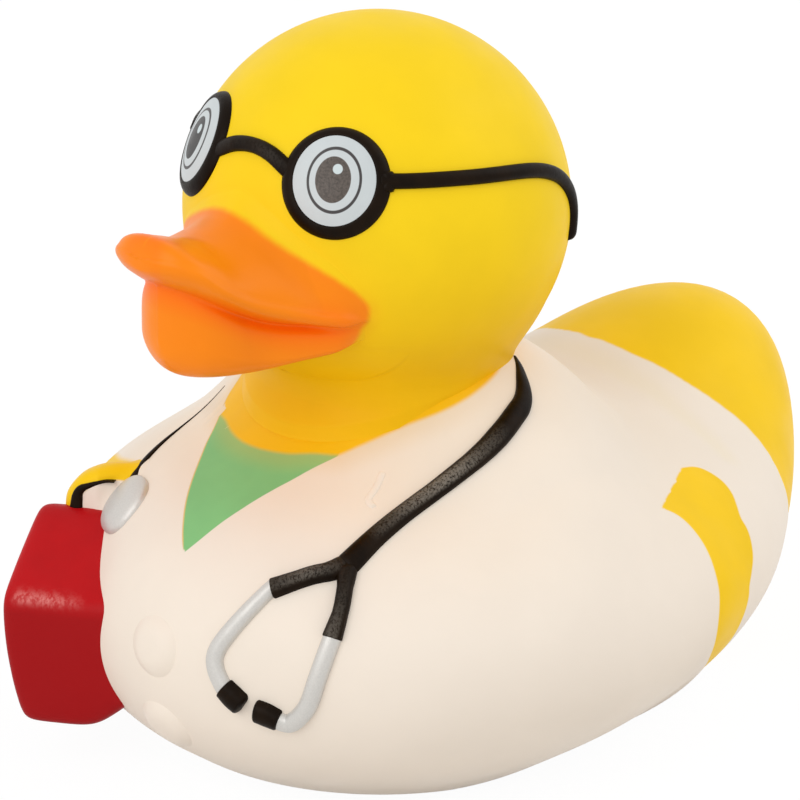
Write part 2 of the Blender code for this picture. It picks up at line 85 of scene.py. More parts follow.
# Round glasses, by bearing and rise seen from the head's centre
LENS_BEARING, LENS_RISE, LENS_RADIUS, LENS_PROUD, LENS_FALL = 32.0, 24.0, 4.85, 0.85, 0.15
LENS_NARROW = 0.935
RIM_OUTER, RIM_PROUD, RIM_LOWERED = 6.08, 0.8, 0.15
BRIDGE_RISE = 30.3
TEMPLE_WIDTH, TEMPLE_PROUD = 1.7, 0.8
TEMPLE_PATH = ((72.0, 23.5), (97.0, 21.0), (112.0, 16.5), (122.0, 9.5), (127.5, 1.0), (127.0, -8.5))

# Stethoscope: paths are (bearing, rise) seen from the body's centre
NEAR_TUBE = ((98.0, 63.5), (88.0, 57.0), (80.0, 50.0), (72.0, 45.5), (62.0, 39.7), (51.0, 33.3),
             (41.6, 26.7), (35.1, 20.8), (30.0, 14.6))
INNER_ARM = ((31.0, 15.6), (28.0, 14.1), (24.6, 13.0), (18.7, 10.3))
OUTER_ARM = ((30.6, 15.6), (31.0, 12.0), (31.0, 8.5), (30.2, 4.5))
INNER_CHROME = ((19.7, 10.9), (18.7, 10.3), (14.5, 4.4), (12.2, 0.4), (12.3, -2.2), (14.1, -5.2))
OUTER_CHROME = ((30.4, 5.6), (30.2, 4.5), (28.6, -1.0), (27.1, -5.5), (24.5, -8.5), (22.2, -8.4))
INNER_TIP = ((13.7, -4.6), (15.5, -6.0), (17.0, -7.0))
OUTER_TIP = ((22.8, -8.4), (20.6, -7.7), (18.7, -7.3))
FAR_TUBE = ((-48.0, 37.5), (-46.5, 34.0), (-44.9, 30.9), (-42.4, 27.2), (-38.9, 23.8), (-34.7, 20.2),
            (-30.5, 16.8), (-28.0, 15.0))
CHESTPIECE, CHESTPIECE_RADIUS, CHESTPIECE_PROUD = (-25.3, 12.9), 3.7, 1.2
BUTTON_RADIUS, BUTTON_PROUD, BUTTON_RISES = 3.65, 0.85, (-2.1, -15.5)

# Edges of the painted fields on the body, as (bearing, rise)
NECK_RING = ((-3.2, 33.6), (5.3, 34.5), (12.8, 36.0), (20.4, 36.8))
NECK_SIDE = ((20.4, 36.8), (26.9, 40.2), (38.0, 45.0), (50.7, 48.9), (60.8, 52.5), (75.6, 58.3),
             (86.0, 63.0), (98.0, 67.0), (140.0, 70.0), (190.0, 70.0))
COAT_EDGE_FAR = ((-41.0, 48.0), (-39.5, 44.5), (-38.4, 41.8), (-36.5, 38.4), (-30.8, 34.8), (-27.1, 32.3),
                 (-23.0, 29.2), (-19.3, 26.8), (-15.4, 24.1), (-11.5, 21.2), (-6.0, 16.8), (-4.0, 15.1),
                 (-0.5, 12.1))
COAT_EDGE_NEAR = ((-0.5, 12.1), (0.9, 14.4), (3.2, 18.8), (7.0, 24.8), (10.7, 29.0), (14.9, 33.0), (20.4, 36.8))
SHIRT_TOP_FAR = ((-3.2, 33.6), (-11.1, 33.4), (-18.4, 34.0), (-24.7, 34.9), (-30.8, 34.8))
HEM = ((195.0, 29.2), (184.0, 32.5), (176.0, 32.5), (168.8, 30.9), (163.0, 28.0), (157.9, 23.7),
       (154.4, 18.6), (152.1, 13.2), (150.2, 8.7), (148.4, 4.5), (148.0, -0.3), (148.5, -5.0),
       (149.5, -10.0), (151.0, -15.0), (153.0, -32.0))
HEM_VALLEY = ((193.0, 31.5), (178.0, 34.0), (164.4, 31.0), (154.8, 25.1), (145.8, 18.1), (140.1, 13.9))
WING_TIP_OUTER = ((125.9, 18.6), (129.0, 17.2), (130.1, 15.4), (129.8, 12.8), (128.1, 10.6), (125.8, 8.9),
                  (123.9, 7.3), (123.2, 5.4), (121.7, 3.1), (120.0, 1.0), (118.2, -0.7), (116.7, -2.4),
                  (116.4, -4.1), (115.7, -6.7), (115.2, -9.0), (115.0, -12.8), (113.5, -17.0), (112.5, -20.0))
WING_TIP_INNER = ((110.5, -20.0), (109.2, -16.6), (105.4, -11.5), (104.0, -7.7), (103.9, -4.8), (104.5, -2.3),
                  (105.6, 0.5), (106.6, 3.3), (107.8, 6.1), (108.8, 9.1), (109.2, 12.1), (108.5, 14.2),
                  (106.3, 16.3))
HAND_SPRAY = ((-75.0, 3.0), (-62.0, 8.5), (-52.0, 12.5), (-45.1, 14.7), (-38.4, 17.0), (-34.3, 17.8),
              (-32.2, 17.2), (-31.6, 15.6), (-31.2, 14.0))
LAPEL_NOTCH = ((33.1, 34.4), (32.2, 30.6), (31.1, 27.7), (32.8, 26.1))

# Doctor's case: distances out of its front, along its width and up
CASE_BEARING = -60.0
CASE_MIDDLE = (26.0, 11.2, 14.0)
CASE_FRONT, CASE_NEAR, CASE_FAR, CASE_BACK, CASE_BOTTOM, CASE_HEEL = 36.9, 23.8, -1.4, 16.5, 4.9, 26.5
CASE_ROOF, ROOF_SLOPE, HEEL_SLOPE, CASE_SHOULDER, CASE_EDGE = 33.3, 0.55, 0.84, 20.2, 0.6
CASE_WAIST, FRONT_BOW, NEAR_BOW = 19.0, 0.0095, 0.005
STRAP = ((32.3, 24.5), (32.0, 26.5), (31.6, 28.6), (30.2, 29.5), (28.7, 30.0), (27.5, 30.05))
STRAP_WIDTHS = (1.7, 1.6, 1.35, 0.7, 0.4, 0.12)
HAND_OUTLINE = ((33.6, 24.0), (33.7, 26.7), (33.3, 28.3), (32.0, 29.9), (30.5, 30.8), (28.9, 31.3),
                (26.5, 31.4), (24.0, 30.7), (21.0, 28.5), (19.0, 24.0))
HAND_ALONG = (6.8, 11.2)
UNDER_STRAP = ((31.9, 22.0), (31.7, 26.5), (31.1, 28.6), (29.9, 29.5), (28.6, 30.0), (27.4, 30.05),
               (24.0, 30.0), (12.0, 29.8), (12.0, 22.0))

# Photograph: a long lens, 45 degrees round to the duck's left and 20 degrees up
CAMERA_AZIMUTH, CAMERA_ELEVATION = 45.0, 20.0
CAMERA_TARGET = np.array((7.031, -3.444, 41.249))
CAMERA_DISTANCE, CAMERA_LENS = 600.0, 244.546

# Light: a white room and floor as seen, softer as light
WHITE = (1.0, 1.0, 1.0, 1.0)
FLOOR_COLOUR = (0.80, 0.79, 0.775, 1.0)
FLOOR_WHITE, FLOOR_SHARE, ROOM_LIGHT = 1.03, 0.93, 0.76
KEY_LAMP = ((0.02, -0.72, 0.46), 0.7, 2.0)
FILL_LAMP = ((0.40, 0.50, 0.55), 0.7, 1.4)


def unit(vectors):
    """Vectors at unit length."""
    return vectors / np.linalg.norm(vectors, axis=-1, keepdims=True)


def heading(bearing, rise):
    """Directions from a bearing, 0 ahead and +90 to the duck's left, and a rise above level."""
    turn, lift = np.radians(bearing), np.radians(rise)
    return np.stack([np.sin(turn) * np.cos(lift), -np.cos(turn) * np.cos(lift),
                     np.sin(lift) * np.ones_like(turn)], -1)


def bearings_of(directions):
    """Bearing and rise in degrees of directions of any length."""
    level = np.hypot(directions[..., 0], directions[..., 1])
    return (np.degrees(np.arctan2(directions[..., 0], -directions[..., 1])),
            np.degrees(np.arctan2(directions[..., 2], level)))


def smooth_path(points, steps=24):
    """A smooth run through a few points: each leg is a cubic whose slope at a point is half the
    way between its neighbours."""
    points = np.array(points, float)
    padded = np.vstack([2 * points[0] - points[1], points, 2 * points[-1] - points[-2]])
    t = np.linspace(0.0, 1.0, steps, endpoint=False)[:, None]
    legs = []
    for p0, p1, p2, p3 in zip(padded, padded[1:], padded[2:], padded[3:]):
        legs.append(0.5 * (2 * p1 + (p2 - p0) * t + (2 * p0 - 5 * p1 + 4 * p2 - p3) * t ** 2
                           + (3 * p1 - p0 - 3 * p2 + p3) * t ** 3))
    return np.vstack(legs + [points[-1:]])


def spread(knots, count):
    """A count of values from the first knot to the last, closer together where the density is
    higher. Each knot is (value, density)."""
    knots = np.array(knots, float)
    fine = np.linspace(knots[0, 0], knots[-1, 0], 4001)
    total = np.cumsum(np.interp(fine, knots[:, 0], knots[:, 1]))
    total = (total - total[0]) / (total[-1] - total[0])
    return np.interp(np.linspace(0.0, 1.0, count), total, fine)


def soft_min(a, b, reach):
    """The lesser of two distances, rounded over a reach where they are nearly alike: the lesser
    less a quarter of the reach times the square of how near they are."""
    near = np.clip(1.0 - np.abs(a - b) / reach, 0.0, 1.0)
    return np.minimum(a, b) - 0.25 * reach * near * near


def soft_max(a, b, reach):
    """The greater of two distances, rounded over a reach."""
    return -soft_min(-a, -b, reach)


def cast(field, start, directions, far, halvings=22):
    """Where rays from a start leave a form: the stretch in which the distance field turns from
    inside to outside is halved again and again."""
    low = np.zeros(directions.shape[:-1])
    high = np.full(directions.shape[:-1], float(far))
    for _ in range(halvings):
        middle = 0.5 * (low + high)
        outside = field(start + middle[..., None] * directions) > 0.0
        high = np.where(outside, middle, high)
        low = np.where(outside, low, middle)
    return start + (0.5 * (low + high))[..., None] * directions


def egg_reach(directions, egg):
    """How far a ray from the body's centre goes to leave one tilted egg: the larger root of the
    square that puts the ray's point on the egg, or almost nothing if it misses."""
    centre_y, centre_z, half_width, half_length, half_height, tilt = egg
    c, s = math.cos(math.radians(tilt)), math.sin(math.radians(tilt))
    turn = np.array([[1, 0, 0], [0, c, s], [0, -s, c]])
    sizes = np.array([half_width, half_length, half_height])
    start = turn @ (BODY_CENTRE - (0.0, centre_y, centre_z)) / sizes
    run = directions @ turn.T / sizes
    square, slope, rest = (run * run).sum(-1), run @ start, start @ start - 1.0
    hit = slope * slope - square * rest
    return np.where(hit > 0.0, (np.sqrt(np.maximum(hit, 0.0)) - slope) / square, 0.001)


def neck_section(drop):
    """Radius of the head and neck at a drop below the head's centre, the soft greater of the
    ball's and the waisted neck's, and how far back the section's centre lies."""
    ball = np.sqrt(np.maximum(HEAD_RADIUS ** 2 - drop ** 2, 0.0))
    below = drop - NECK_WAIST_DROP
    neck = np.maximum(NECK_RADIUS + np.where(below > 0.0, NECK_FLARE, -NECK_FADE) * below ** 2, 0.01)
    large = np.maximum(ball, neck)
    radius = large * ((ball / large) ** 12 + (neck / large) ** 12) ** (1.0 / 12)
    return radius, NECK_SET_BACK * np.clip((drop - 10.0) / 9.0, 0.0, 1.0)


def fillet(apart):
    """How far a skin swells near another one, from the distance between them."""
    return 0.25 * NECK_FILLET * np.clip(1.0 - np.maximum(apart, 0.0) / NECK_FILLET, 0.0, 1.0) ** 2


def body_reach(directions):
    """Distance from the body's centre to its skin: a soft maximum of the eggs, swelled at the
    wings and the neck's root, dented beside the case, then a soft minimum with the base."""
    reaches = [egg_reach(directions, egg) for egg in (BELLY, TAIL, CHEST, SHOULDERS)]
    largest = np.maximum.reduce(reaches)
    reach = largest * sum((r / largest) ** BODY_BLEND for r in reaches) ** (1.0 / BODY_BLEND)
    bearing = np.degrees(np.arctan2(np.abs(directions[..., 0]), -directions[..., 1]))
    rise = np.degrees(np.arcsin(np.clip(directions[..., 2], -1.0, 1.0)))
    away = np.hypot((bearing - WING_BEARING) / WING_HALF_LENGTH, (rise - WING_RISE) / WING_HALF_HEIGHT)
    reach = reach + WING_SWELL * np.clip(1.0 - away ** 4, 0.0, 1.0) ** 2
    aside = np.where(directions[..., 0] < 0.0, -bearing, bearing) - DENT_BEARING
    near = (aside / DENT_LENGTH) ** 2 + ((rise - DENT_RISE) / DENT_HEIGHT) ** 2
    reach = reach - DENT_DEPTH * np.exp(-0.5 * near)
    skin = BODY_CENTRE + reach[..., None] * directions
    radius, back = neck_section(np.clip(HEAD_CENTRE[2] - skin[..., 2], -21.0, NECK_ROOT_DROP))
    front = np.clip((95.0 - bearing) / 45.0, 0.0, 1.0)
    reach = reach + front * fillet(np.hypot(skin[..., 0], skin[..., 1] - back) - radius)
    down = np.maximum(-directions[..., 2], 1e-4)
    return reach * (1.0 + (reach * down / BODY_CENTRE[2]) ** BASE_EDGE) ** (-1.0 / BASE_EDGE)


def on_body(bearing, rise):
    """Points of the body's skin in the given directions, and the outward normals there."""
    step = 0.4

    def point(turn, lift):
        """The skin's point in one direction."""
        directions = heading(turn, lift)
        return BODY_CENTRE + body_reach(directions)[..., None] * directions

    bearing, rise = np.asarray(bearing, float), np.asarray(rise, float)
    across = point(bearing + step, rise) - point(bearing - step, rise)
    upward = point(bearing, rise + step) - point(bearing, rise - step)
    return point(bearing, rise), unit(np.cross(across, upward))


def on_head(bearing, rise):
    """Points of the head's ball in the given directions, and the outward normals there."""
    normals = heading(np.asarray(bearing, float), np.asarray(rise, float))
    return HEAD_CENTRE + HEAD_RADIUS * normals, normals


def body_distance(points):
    """Distance outside the body's skin, taken along the ray from the body's centre."""
    away = points - BODY_CENTRE
    length = np.linalg.norm(away, axis=-1)
    return (length - body_reach(away / length[..., None])) * 0.9


def inside_of(x, y, outline):
    """Whether places lie inside a closed outline, told by how often its legs are crossed."""
    inside = np.zeros(x.shape, bool)
    for (x0, y0), (x1, y1) in zip(outline, np.roll(outline, -1, axis=0)):
        if y0 != y1:
            crossing = x0 + (y - y0) * (x1 - x0) / (y1 - y0)
            inside ^= (y > min(y0, y1)) & (y <= max(y0, y1)) & (x < crossing)
    return inside


def nearest_leg(points, corners):
    """Distance from points to the nearest leg of a closed run of corners, flat or in space."""
    nearest = np.full(points.shape[:-1], 1e9)
    for start, leg in zip(corners, np.roll(corners, -1, axis=0) - corners):
        share = np.clip((points - start) @ leg / max(leg @ leg, 1e-9), 0.0, 1.0)
        away = points - start - share[..., None] * leg
        nearest = np.minimum(nearest, (away * away).sum(-1))
    return np.sqrt(nearest)


def paint_distance(points, angles, outline, place):
    """Distance in millimetres inside the edge of a masked field, negative outside it: the
    nearest leg of the outline laid on the skin, with the side told by bearing and rise."""
    corners = place(outline[:, 0], outline[:, 1])[0]
    return np.where(inside_of(*angles, outline), 1.0, -1.0) * nearest_leg(points, corners)


def stand(name, data):
    """A new object in the scene, at the origin."""
    made = bpy.data.objects.new(name, data)
    bpy.context.scene.collection.objects.link(made)
    return made


def grid_piece(name, points, material, marks):
    """A smooth closed skin over rows of points. Each row is a ring, a fan closes the first and
    last ring to a point in its middle, and marks are values laid on the points for the paint.
    Faces are turned outward by the sign of the volume they hold."""
    rows, columns = points.shape[:2]
    numbers = np.arange(rows * columns).reshape(rows, columns)
    beside = np.roll(numbers, -1, axis=1)
    quads = np.stack([numbers[:-1], beside[:-1], beside[1:], numbers[1:]], -1).reshape(-1, 4)
    vertices = np.vstack([points.reshape(-1, 3), points[0].mean(0), points[-1].mean(0)])
    marks = {word: np.append(values, (values[0].mean(), values[-1].mean())) for word, values in marks.items()}
    fans = []
    for row, tip in ((0, rows * columns), (rows - 1, rows * columns + 1)):
        fan = np.stack([np.full(columns, tip), beside[row], numbers[row]], -1)
        fans.append(fan if row == 0 else fan[:, ::-1])
    triangles = np.vstack(fans)
    corners = vertices[np.vstack([quads[:, :3], quads[:, [0, 2, 3]], triangles])]
    if np.einsum("ij,ij->i", corners[:, 0], np.cross(corners[:, 1], corners[:, 2])).sum() < 0.0:
        quads, triangles = quads[:, ::-1], triangles[:, ::-1]
    mesh = bpy.data.meshes.new(name)
    mesh.from_pydata((vertices * MM).tolist(), [], quads.tolist() + triangles.tolist())
    for word, values in marks.items():
        mesh.attributes.new(word, "FLOAT", "POINT").data.foreach_set("value", values.astype(np.float32))
    mesh.shade_smooth()
    mesh.materials.append(material)
    piece = stand(name, mesh)
    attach(piece, "root")
    return piece


def even_steps(path, count):
    """The same path at a count of points an even distance apart."""
    path = np.asarray(path, float)
    run = np.append(0.0, np.cumsum(np.linalg.norm(np.diff(path, axis=0), axis=1)))
    wanted = np.linspace(0.0, run[-1], count)
    return np.stack([np.interp(wanted, run, path[:, k]) for k in range(path.shape[1])], -1)


def band(name, place, path, widths, proud, slot, material, count=120, ends=(0.3, 0.3), sink=0.9,
         wear=(0.0, 0.0)):
    """A raised strip carried along a path on a skin. Its section is half an ellipse, the sine of an angle to a
    power of 0.8 high, on sides that go down into the skin. The ends close over a short length as the root of
    one less the square. The last argument gives how much of the crest is greyed along the strip, by scuffed
    paint with a painted highlight."""
    angles = even_steps(smooth_path(path), count)
    points, normals = place(angles[:, 0], angles[:, 1])
    run = np.append(0.0, np.cumsum(np.linalg.norm(np.diff(points, axis=0), axis=1)))
    known = np.linspace(0.0, run[-1], len(np.atleast_1d(widths))) if np.ndim(widths) else (0.0, run[-1])
    values = widths if np.ndim(widths) else (widths, widths)
    width = np.interp(run, known, values)
    lift = np.interp(run, known, proud if np.ndim(proud) else (proud,) * len(known))
    close = np.ones_like(run)
    for length, left in ((ends[0], run), (ends[1], run[-1] - run)):
        short = np.clip(1.0 - left / max(length, 1e-6), 0.0, 1.0)
        close = close * np.sqrt(np.maximum(1.0 - short * short, 0.0025))
    ahead = unit(np.gradient(points, axis=0))
    across = unit(np.cross(ahead, normals))
    angle = np.linspace(0.0, math.pi, 21)
    side = np.concatenate([[-1.0, -1.0], -np.cos(angle), [1.0, 1.0]]) * 0.5
    high = np.concatenate([[0.0, 0.0], np.sin(angle) ** 0.8, [0.0, 0.0]])
    deep = np.concatenate([[1.0, 0.5], np.zeros(21), [0.5, 1.0]])
    shut = close[:, None, None]
    aside = side[None, :] * (width * (0.5 + 0.5 * close))[:, None]
    rise = high[None, :, None] * lift[:, None, None] * shut - deep[None, :, None] * sink
    grid = points[:, None] + aside[..., None] * across[:, None] + rise * normals[:, None]
    crest_wear_and_highlight = np.interp(run, np.linspace(0.0, run[-1], len(wear)), wear)
    # Grey on the crest's top by the share along it: scuffed paint with a painted highlight
    worn_and_highlight = crest_wear_and_highlight[:, None] * np.clip((high - 0.72) / 0.22, 0.0, 1.0)
    return grid_piece(name, grid, material, {"worn_and_highlight": worn_and_highlight})


def turned(name, profile, centre, axis, material, columns=128, outline=None, lay=None):
    """A form turned about an axis: the profile is (radius, height along the axis). Marks give
    each point's place across and up the face. An outline stretches the radius by bearing
    round the axis, and lay moves each point on from there."""
    right = unit(np.cross((0.0, 0.0, 1.0), axis))
    top = np.cross(axis, right)
    turn = np.linspace(0.0, 2 * math.pi, columns, endpoint=False)
    radius, height = np.asarray(profile, float).T
    stretch = np.ones_like(turn) if outline is None else outline(turn)
    aside = radius[:, None] * stretch * np.cos(turn)
    upward = radius[:, None] * stretch * np.sin(turn)
    points = (np.asarray(centre) + aside[..., None] * right + upward[..., None] * top
              + height[:, None, None] * axis)
    if lay is not None:
        points = lay(points, axis)
    return grid_piece(name, points, material, {"aside": aside, "upward": upward})


def joined(tree, kind, values, **settings):
    """A node with its settings, its inputs given values or linked to other nodes' outputs."""
    made = tree.nodes.new(kind)
    for word, value in settings.items():
        setattr(made, word, value)
    for socket, value in values.items():
        if isinstance(value, bpy.types.NodeSocket):
            tree.links.new(value, made.inputs[socket])
        else:
            made.inputs[socket].default_value = value
    return made.outputs


class Finish:
    """A finish being mixed: nodes joined one to the next, and a Principled shader at the end."""

    def __init__(self, name):
        self.material = bpy.data.materials.new(name)
        self.material.use_nodes = True
        self.tree = self.material.node_tree
        self.shader = self.tree.nodes["Principled BSDF"]
        self.colour = None

    def node(self, kind, values, **settings):
        """One more node, joined to those before it."""
        return joined(self.tree, kind, values, **settings)

    def mark(self, name):
        """A value laid on the piece's points."""
        return self.node("ShaderNodeAttribute", {}, attribute_name=name)["Fac"]

    def sums(self, operation, a, b=0.0):
        """Arithmetic on one or two values."""
        return self.node("ShaderNodeMath", {0: a, 1: b}, operation=operation)[0]

    def times(self, a, b):
        """One value times another."""
        return self.sums("MULTIPLY", a, b)

    def less(self, a, b):
        """One value less another."""
        return self.sums("SUBTRACT", a, b)

    def wander(self, scale, detail, reach):
        """A small shift to and fro for a masked edge, in millimetres."""
        return self.times(self.less(self.noise(scale, detail), 0.5), reach)

    def dull(self, scale, least, most, margin=0.25):
        """Roughness that wavers from least to most."""
        return self.fade(self.noise(scale), margin, 1.0 - margin, least, most)

    def noise(self, scale, detail=3.0, roughness=0.55, stretch=None):
        """Noise on the object's own coordinates, in features a metre, from 0 to 1."""
        place = self.node("ShaderNodeTexCoord", {})["Object"]
        if stretch is not None:
            place = self.node("ShaderNodeMapping", {"Vector": place, "Scale": stretch})[0]
        return self.node("ShaderNodeTexNoise", {"Vector": place, "Scale": scale, "Detail": detail,
                                                "Roughness": roughness})["Fac"]

    def fade(self, value, low, high, start=0.0, end=1.0):
        """A smooth step from start to end as a value goes from low to high."""
        return self.node("ShaderNodeMapRange", {"Value": value, "From Min": low, "From Max": high,
                                                "To Min": start, "To Max": end},
                         interpolation_type="SMOOTHSTEP")[0]

    def blend(self, share, under, over):
        """One colour laid over another by a share."""
        under, over = (c if isinstance(c, bpy.types.NodeSocket) else (*c, 1.0) for c in (under, over))
        return self.node("ShaderNodeMix", {0: share, 6: under, 7: over}, data_type="RGBA")[2]

    def coat(self, share, over):
        """One more coat over the colour so far."""
        self.colour = self.blend(share, self.colour, over)

    def mottled(self, colour, depth, scale=90.0):
        """A colour that wavers softly between a little lighter and a little darker."""
        dark = tuple(c * (1.0 - depth) for c in colour)
        light = tuple(min(c * (1.0 + depth), 1.0) for c in colour)
        return self.blend(self.fade(self.noise(scale), 0.3, 0.7), dark, light)

    def set(self, shine, roughness, metallic=0.0):
        """The shader's colour, shine, roughness and share of metal."""
        for word, value in (("Base Color", self.colour), ("Specular IOR Level", shine),
                            ("Roughness", roughness), ("Metallic", metallic)):
            if isinstance(value, bpy.types.NodeSocket):
                self.tree.links.new(value, self.shader.inputs[word])
            else:
                self.shader.inputs[word].default_value = value

    def bumped(self, *layers):
        """Bump from layers of (height, depth in metres), one on the other."""
        normal = None
        for height, depth in layers:
            values = {"Height": height, "Distance": depth, "Strength": 1.0}
            if normal is not None:
                values["Normal"] = normal
            normal = self.node("ShaderNodeBump", values)["Normal"]
        self.tree.links.new(normal, self.shader.inputs["Normal"])


YELLOW = (0.97, 0.66, 0.010)
TAIL_YELLOW = (0.97, 0.61, 0.003)
# Painted shade: the deeper yellow of the lower head, the neck and the neck's field on the body
SHADED_YELLOW = (0.95, 0.53, 0.002)
ORANGE = (1.0, 0.25, 0.003)
# Painted shade: the deeper orange laid in the mouth's crease
CREASE_SHADE_ORANGE = (1.0, 0.14, 0.001)
CREAM = (0.90, 0.80, 0.69)
GREEN = (0.235, 0.55, 0.215)
BLACK = (0.010, 0.005, 0.002)
# Scuffed black paint with a painted highlight on it: the grey along the tubes' crests
WORN_AND_HIGHLIGHT_GREY = (0.20, 0.175, 0.145)
SILVER = (0.63, 0.61, 0.575)
RED = (0.49, 0.004, 0.007)
# Painted shade: the darker red of the case's lower, upright faces
SHADED_RED = (0.37, 0.004, 0.006)
# Scuffed red with a painted highlight: the pale strip on the near shoulder's edge
SCUFF_AND_HIGHLIGHT_RED = (0.80, 0.26, 0.24)
LENS_WHITE = (0.60, 0.645, 0.655)
DOT_WHITE = (0.62, 0.70, 0.71)
RING_GREY = (0.055, 0.05, 0.05)
# The near pupil is a lighter speckled brown than the far one: a painted reflection on the print
NEAR_PUPIL_SHEEN = ((0.065, 0.052, 0.044), (0.12, 0.098, 0.083))
FAR_PUPIL = ((0.022, 0.020, 0.020), (0.045, 0.042, 0.040))


def coat_finish():
    """The body: cream coat over yellow vinyl, with green shirt, wing tips, tail and a sprayed hand. Each field
    has a masked edge that wanders a little. Painted shade darkens the hem's valley, and painted warm light
    tints the cream below the neck."""
    paint = Finish("painted_coat")
    wander = paint.wander(700.0, 2.0, 0.05)

    def edge(mark, softness):
        """A share that goes from none to all across a field's edge."""
        return paint.fade(paint.sums("ADD", paint.mark(mark), wander), -softness, softness)

    def towards(mark, reach, most):
        """A share that grows towards a field's edge."""
        return paint.fade(paint.mark(mark), -reach, 0.0, 0.0, most)

    paint.colour = paint.mottled(CREAM, 0.014, 70.0)
    # Painted shade: a darker yellowish cream along the hem's valley, partly yellow overspray
    paint.coat(paint.fade(paint.mark("valley"), 2.6, 0.0, 0.0, 0.16), (0.86, 0.74, 0.42))
    # Painted light: a peach tint on the cream, growing towards the neck at the front, for warm light bounced
    # from the yellow neck
    paint.coat(paint.times(towards("neck", 14.0, 0.26), paint.mark("throat")), (0.90, 0.71, 0.50))
    paint.coat(edge("shirt", 0.07), paint.mottled(GREEN, 0.05))
    paint.coat(paint.times(towards("neck", 3.2, 0.22), paint.mark("throat")), (0.80, 0.46, 0.02))
    yellow = paint.mottled(TAIL_YELLOW, 0.03)
    for mark, softness in (("wing_tip", 0.16), ("tail", 0.26), ("hand", 0.55)):
        paint.coat(edge(mark, softness), yellow)
    far_side = paint.mark("far_side")
    cut = paint.sums("MAXIMUM", paint.fade(paint.mark("opening"), -0.1, 0.1), paint.less(1.0, far_side))
    # Painted shade: the neck's field on the body in the deeper yellow
    paint.coat(paint.times(edge("neck", 0.34), cut), paint.mottled(SHADED_YELLOW, 0.03))
    off_edge = paint.sums("ABSOLUTE", paint.mark("opening"))
    paint.coat(paint.times(paint.fade(off_edge, 0.15, 0.05, 0.0, 0.8), far_side), (0.78, 0.52, 0.16))
    paint.set(0.15, paint.dull(160.0, 0.42, 0.52))
    paint.bumped((paint.noise(140.0, 2.0), 0.00012), (paint.noise(1500.0, 3.0), 0.000012))
    return paint.material


def head_finish():
    """Head and bill: yellow vinyl with an airbrushed orange bill whose edge is soft. Painted shade deepens the
    yellow towards the bottom of the head and the orange in the mouth's crease."""
    paint = Finish("painted_head")
    orange = paint.mark("orange")
    paint.colour = paint.mottled(YELLOW, 0.025)
    # Painted shade: the yellow deepens towards the bottom of the head and down the neck
    paint.coat(paint.fade(paint.mark("lowness"), 0.0, 1.0), paint.mottled(SHADED_YELLOW, 0.025))
    paint.coat(paint.times(paint.fade(orange, -1.9, 0.6, 0.0, 0.45), paint.mark("chin")), (0.90, 0.42, 0.01))
    solid = paint.fade(paint.sums("ADD", orange, paint.wander(350.0, 3.0, 0.35)), -0.45, 0.45)
    # Painted shade: the orange deepens in the mouth's crease
    paint.coat(solid, paint.blend(paint.mark("crease"), paint.mottled(ORANGE, 0.03), CREASE_SHADE_ORANGE))
    paint.set(paint.fade(solid, 0.0, 1.0, 0.12, 0.18),
              paint.less(paint.dull(160.0, 0.42, 0.52), paint.times(solid, 0.1)))
    paint.bumped((paint.noise(130.0, 2.0), 0.00012), (paint.noise(1400.0, 3.0), 0.000012))
    return paint.material


def black_finish():
    """Black paint on raised strips, with a scratchy grey along the crests that is partly scuffed paint and
    partly a painted highlight.
    """
    paint = Finish("black_paint")
    scratches = paint.noise(4200.0, 3.0, 0.7, (1.0, 1.0, 0.6))
    worn_and_highlight = paint.times(paint.mark("worn_and_highlight"), paint.fade(scratches, 0.30, 0.60))
    paint.colour = paint.mottled(BLACK, 0.3, 300.0)
    # Painted highlight with scuffing: grey over the crests, broken up by scratches
    paint.coat(paint.times(worn_and_highlight, paint.fade(paint.noise(120.0, 1.0), 0.3, 0.6, 0.5, 1.0)), WORN_AND_HIGHLIGHT_GREY)
    paint.set(0.07, paint.fade(scratches, 0.2, 0.8, 0.30, 0.50))
    paint.bumped((paint.noise(500.0, 2.0), 0.00006), (scratches, 0.00002))
    return paint.material


def silver_finish():
    """Silver paint: fine flakes, dull and a little uneven."""
    paint = Finish("silver_paint")
    flakes = paint.noise(5200.0, 2.0, 0.7)
    paint.colour = paint.blend(paint.fade(flakes, 0.3, 0.7), tuple(c * 0.96 for c in SILVER),
                               tuple(c * 1.04 for c in SILVER))
    paint.set(0.5, paint.dull(400.0, 0.34, 0.48, 0.3), 0.3)
    paint.bumped((paint.noise(260.0, 2.0), 0.00010), (flakes, 0.000004))
    return paint.material


def case_finish():
    """Red paint on the case, darker below the shoulder as painted shade, and pale in short scratches where the
    near shoulder bends: scuffed paint with a painted highlight.
    """
    paint = Finish("case_red")
    scratches = paint.noise(1700.0, 2.0, 0.7, (1.0, 1.0, 0.5))
    paint.colour = paint.mottled(RED, 0.06, 120.0)
    # Painted shade: the faces below the shoulder are darker
    paint.coat(paint.mark("lower"), SHADED_RED)
    # Painted highlight with scuffing along the near shoulder's edge
    paint.coat(paint.times(paint.mark("scuff_and_highlight"), paint.fade(scratches, 0.36, 0.62, 0.15, 0.75)), SCUFF_AND_HIGHLIGHT_RED)
    paint.set(0.12, paint.dull(220.0, 0.40, 0.52))
    paint.bumped((paint.noise(150.0, 2.0), 0.00014), (paint.noise(1600.0, 2.0), 0.000014))
    return paint.material


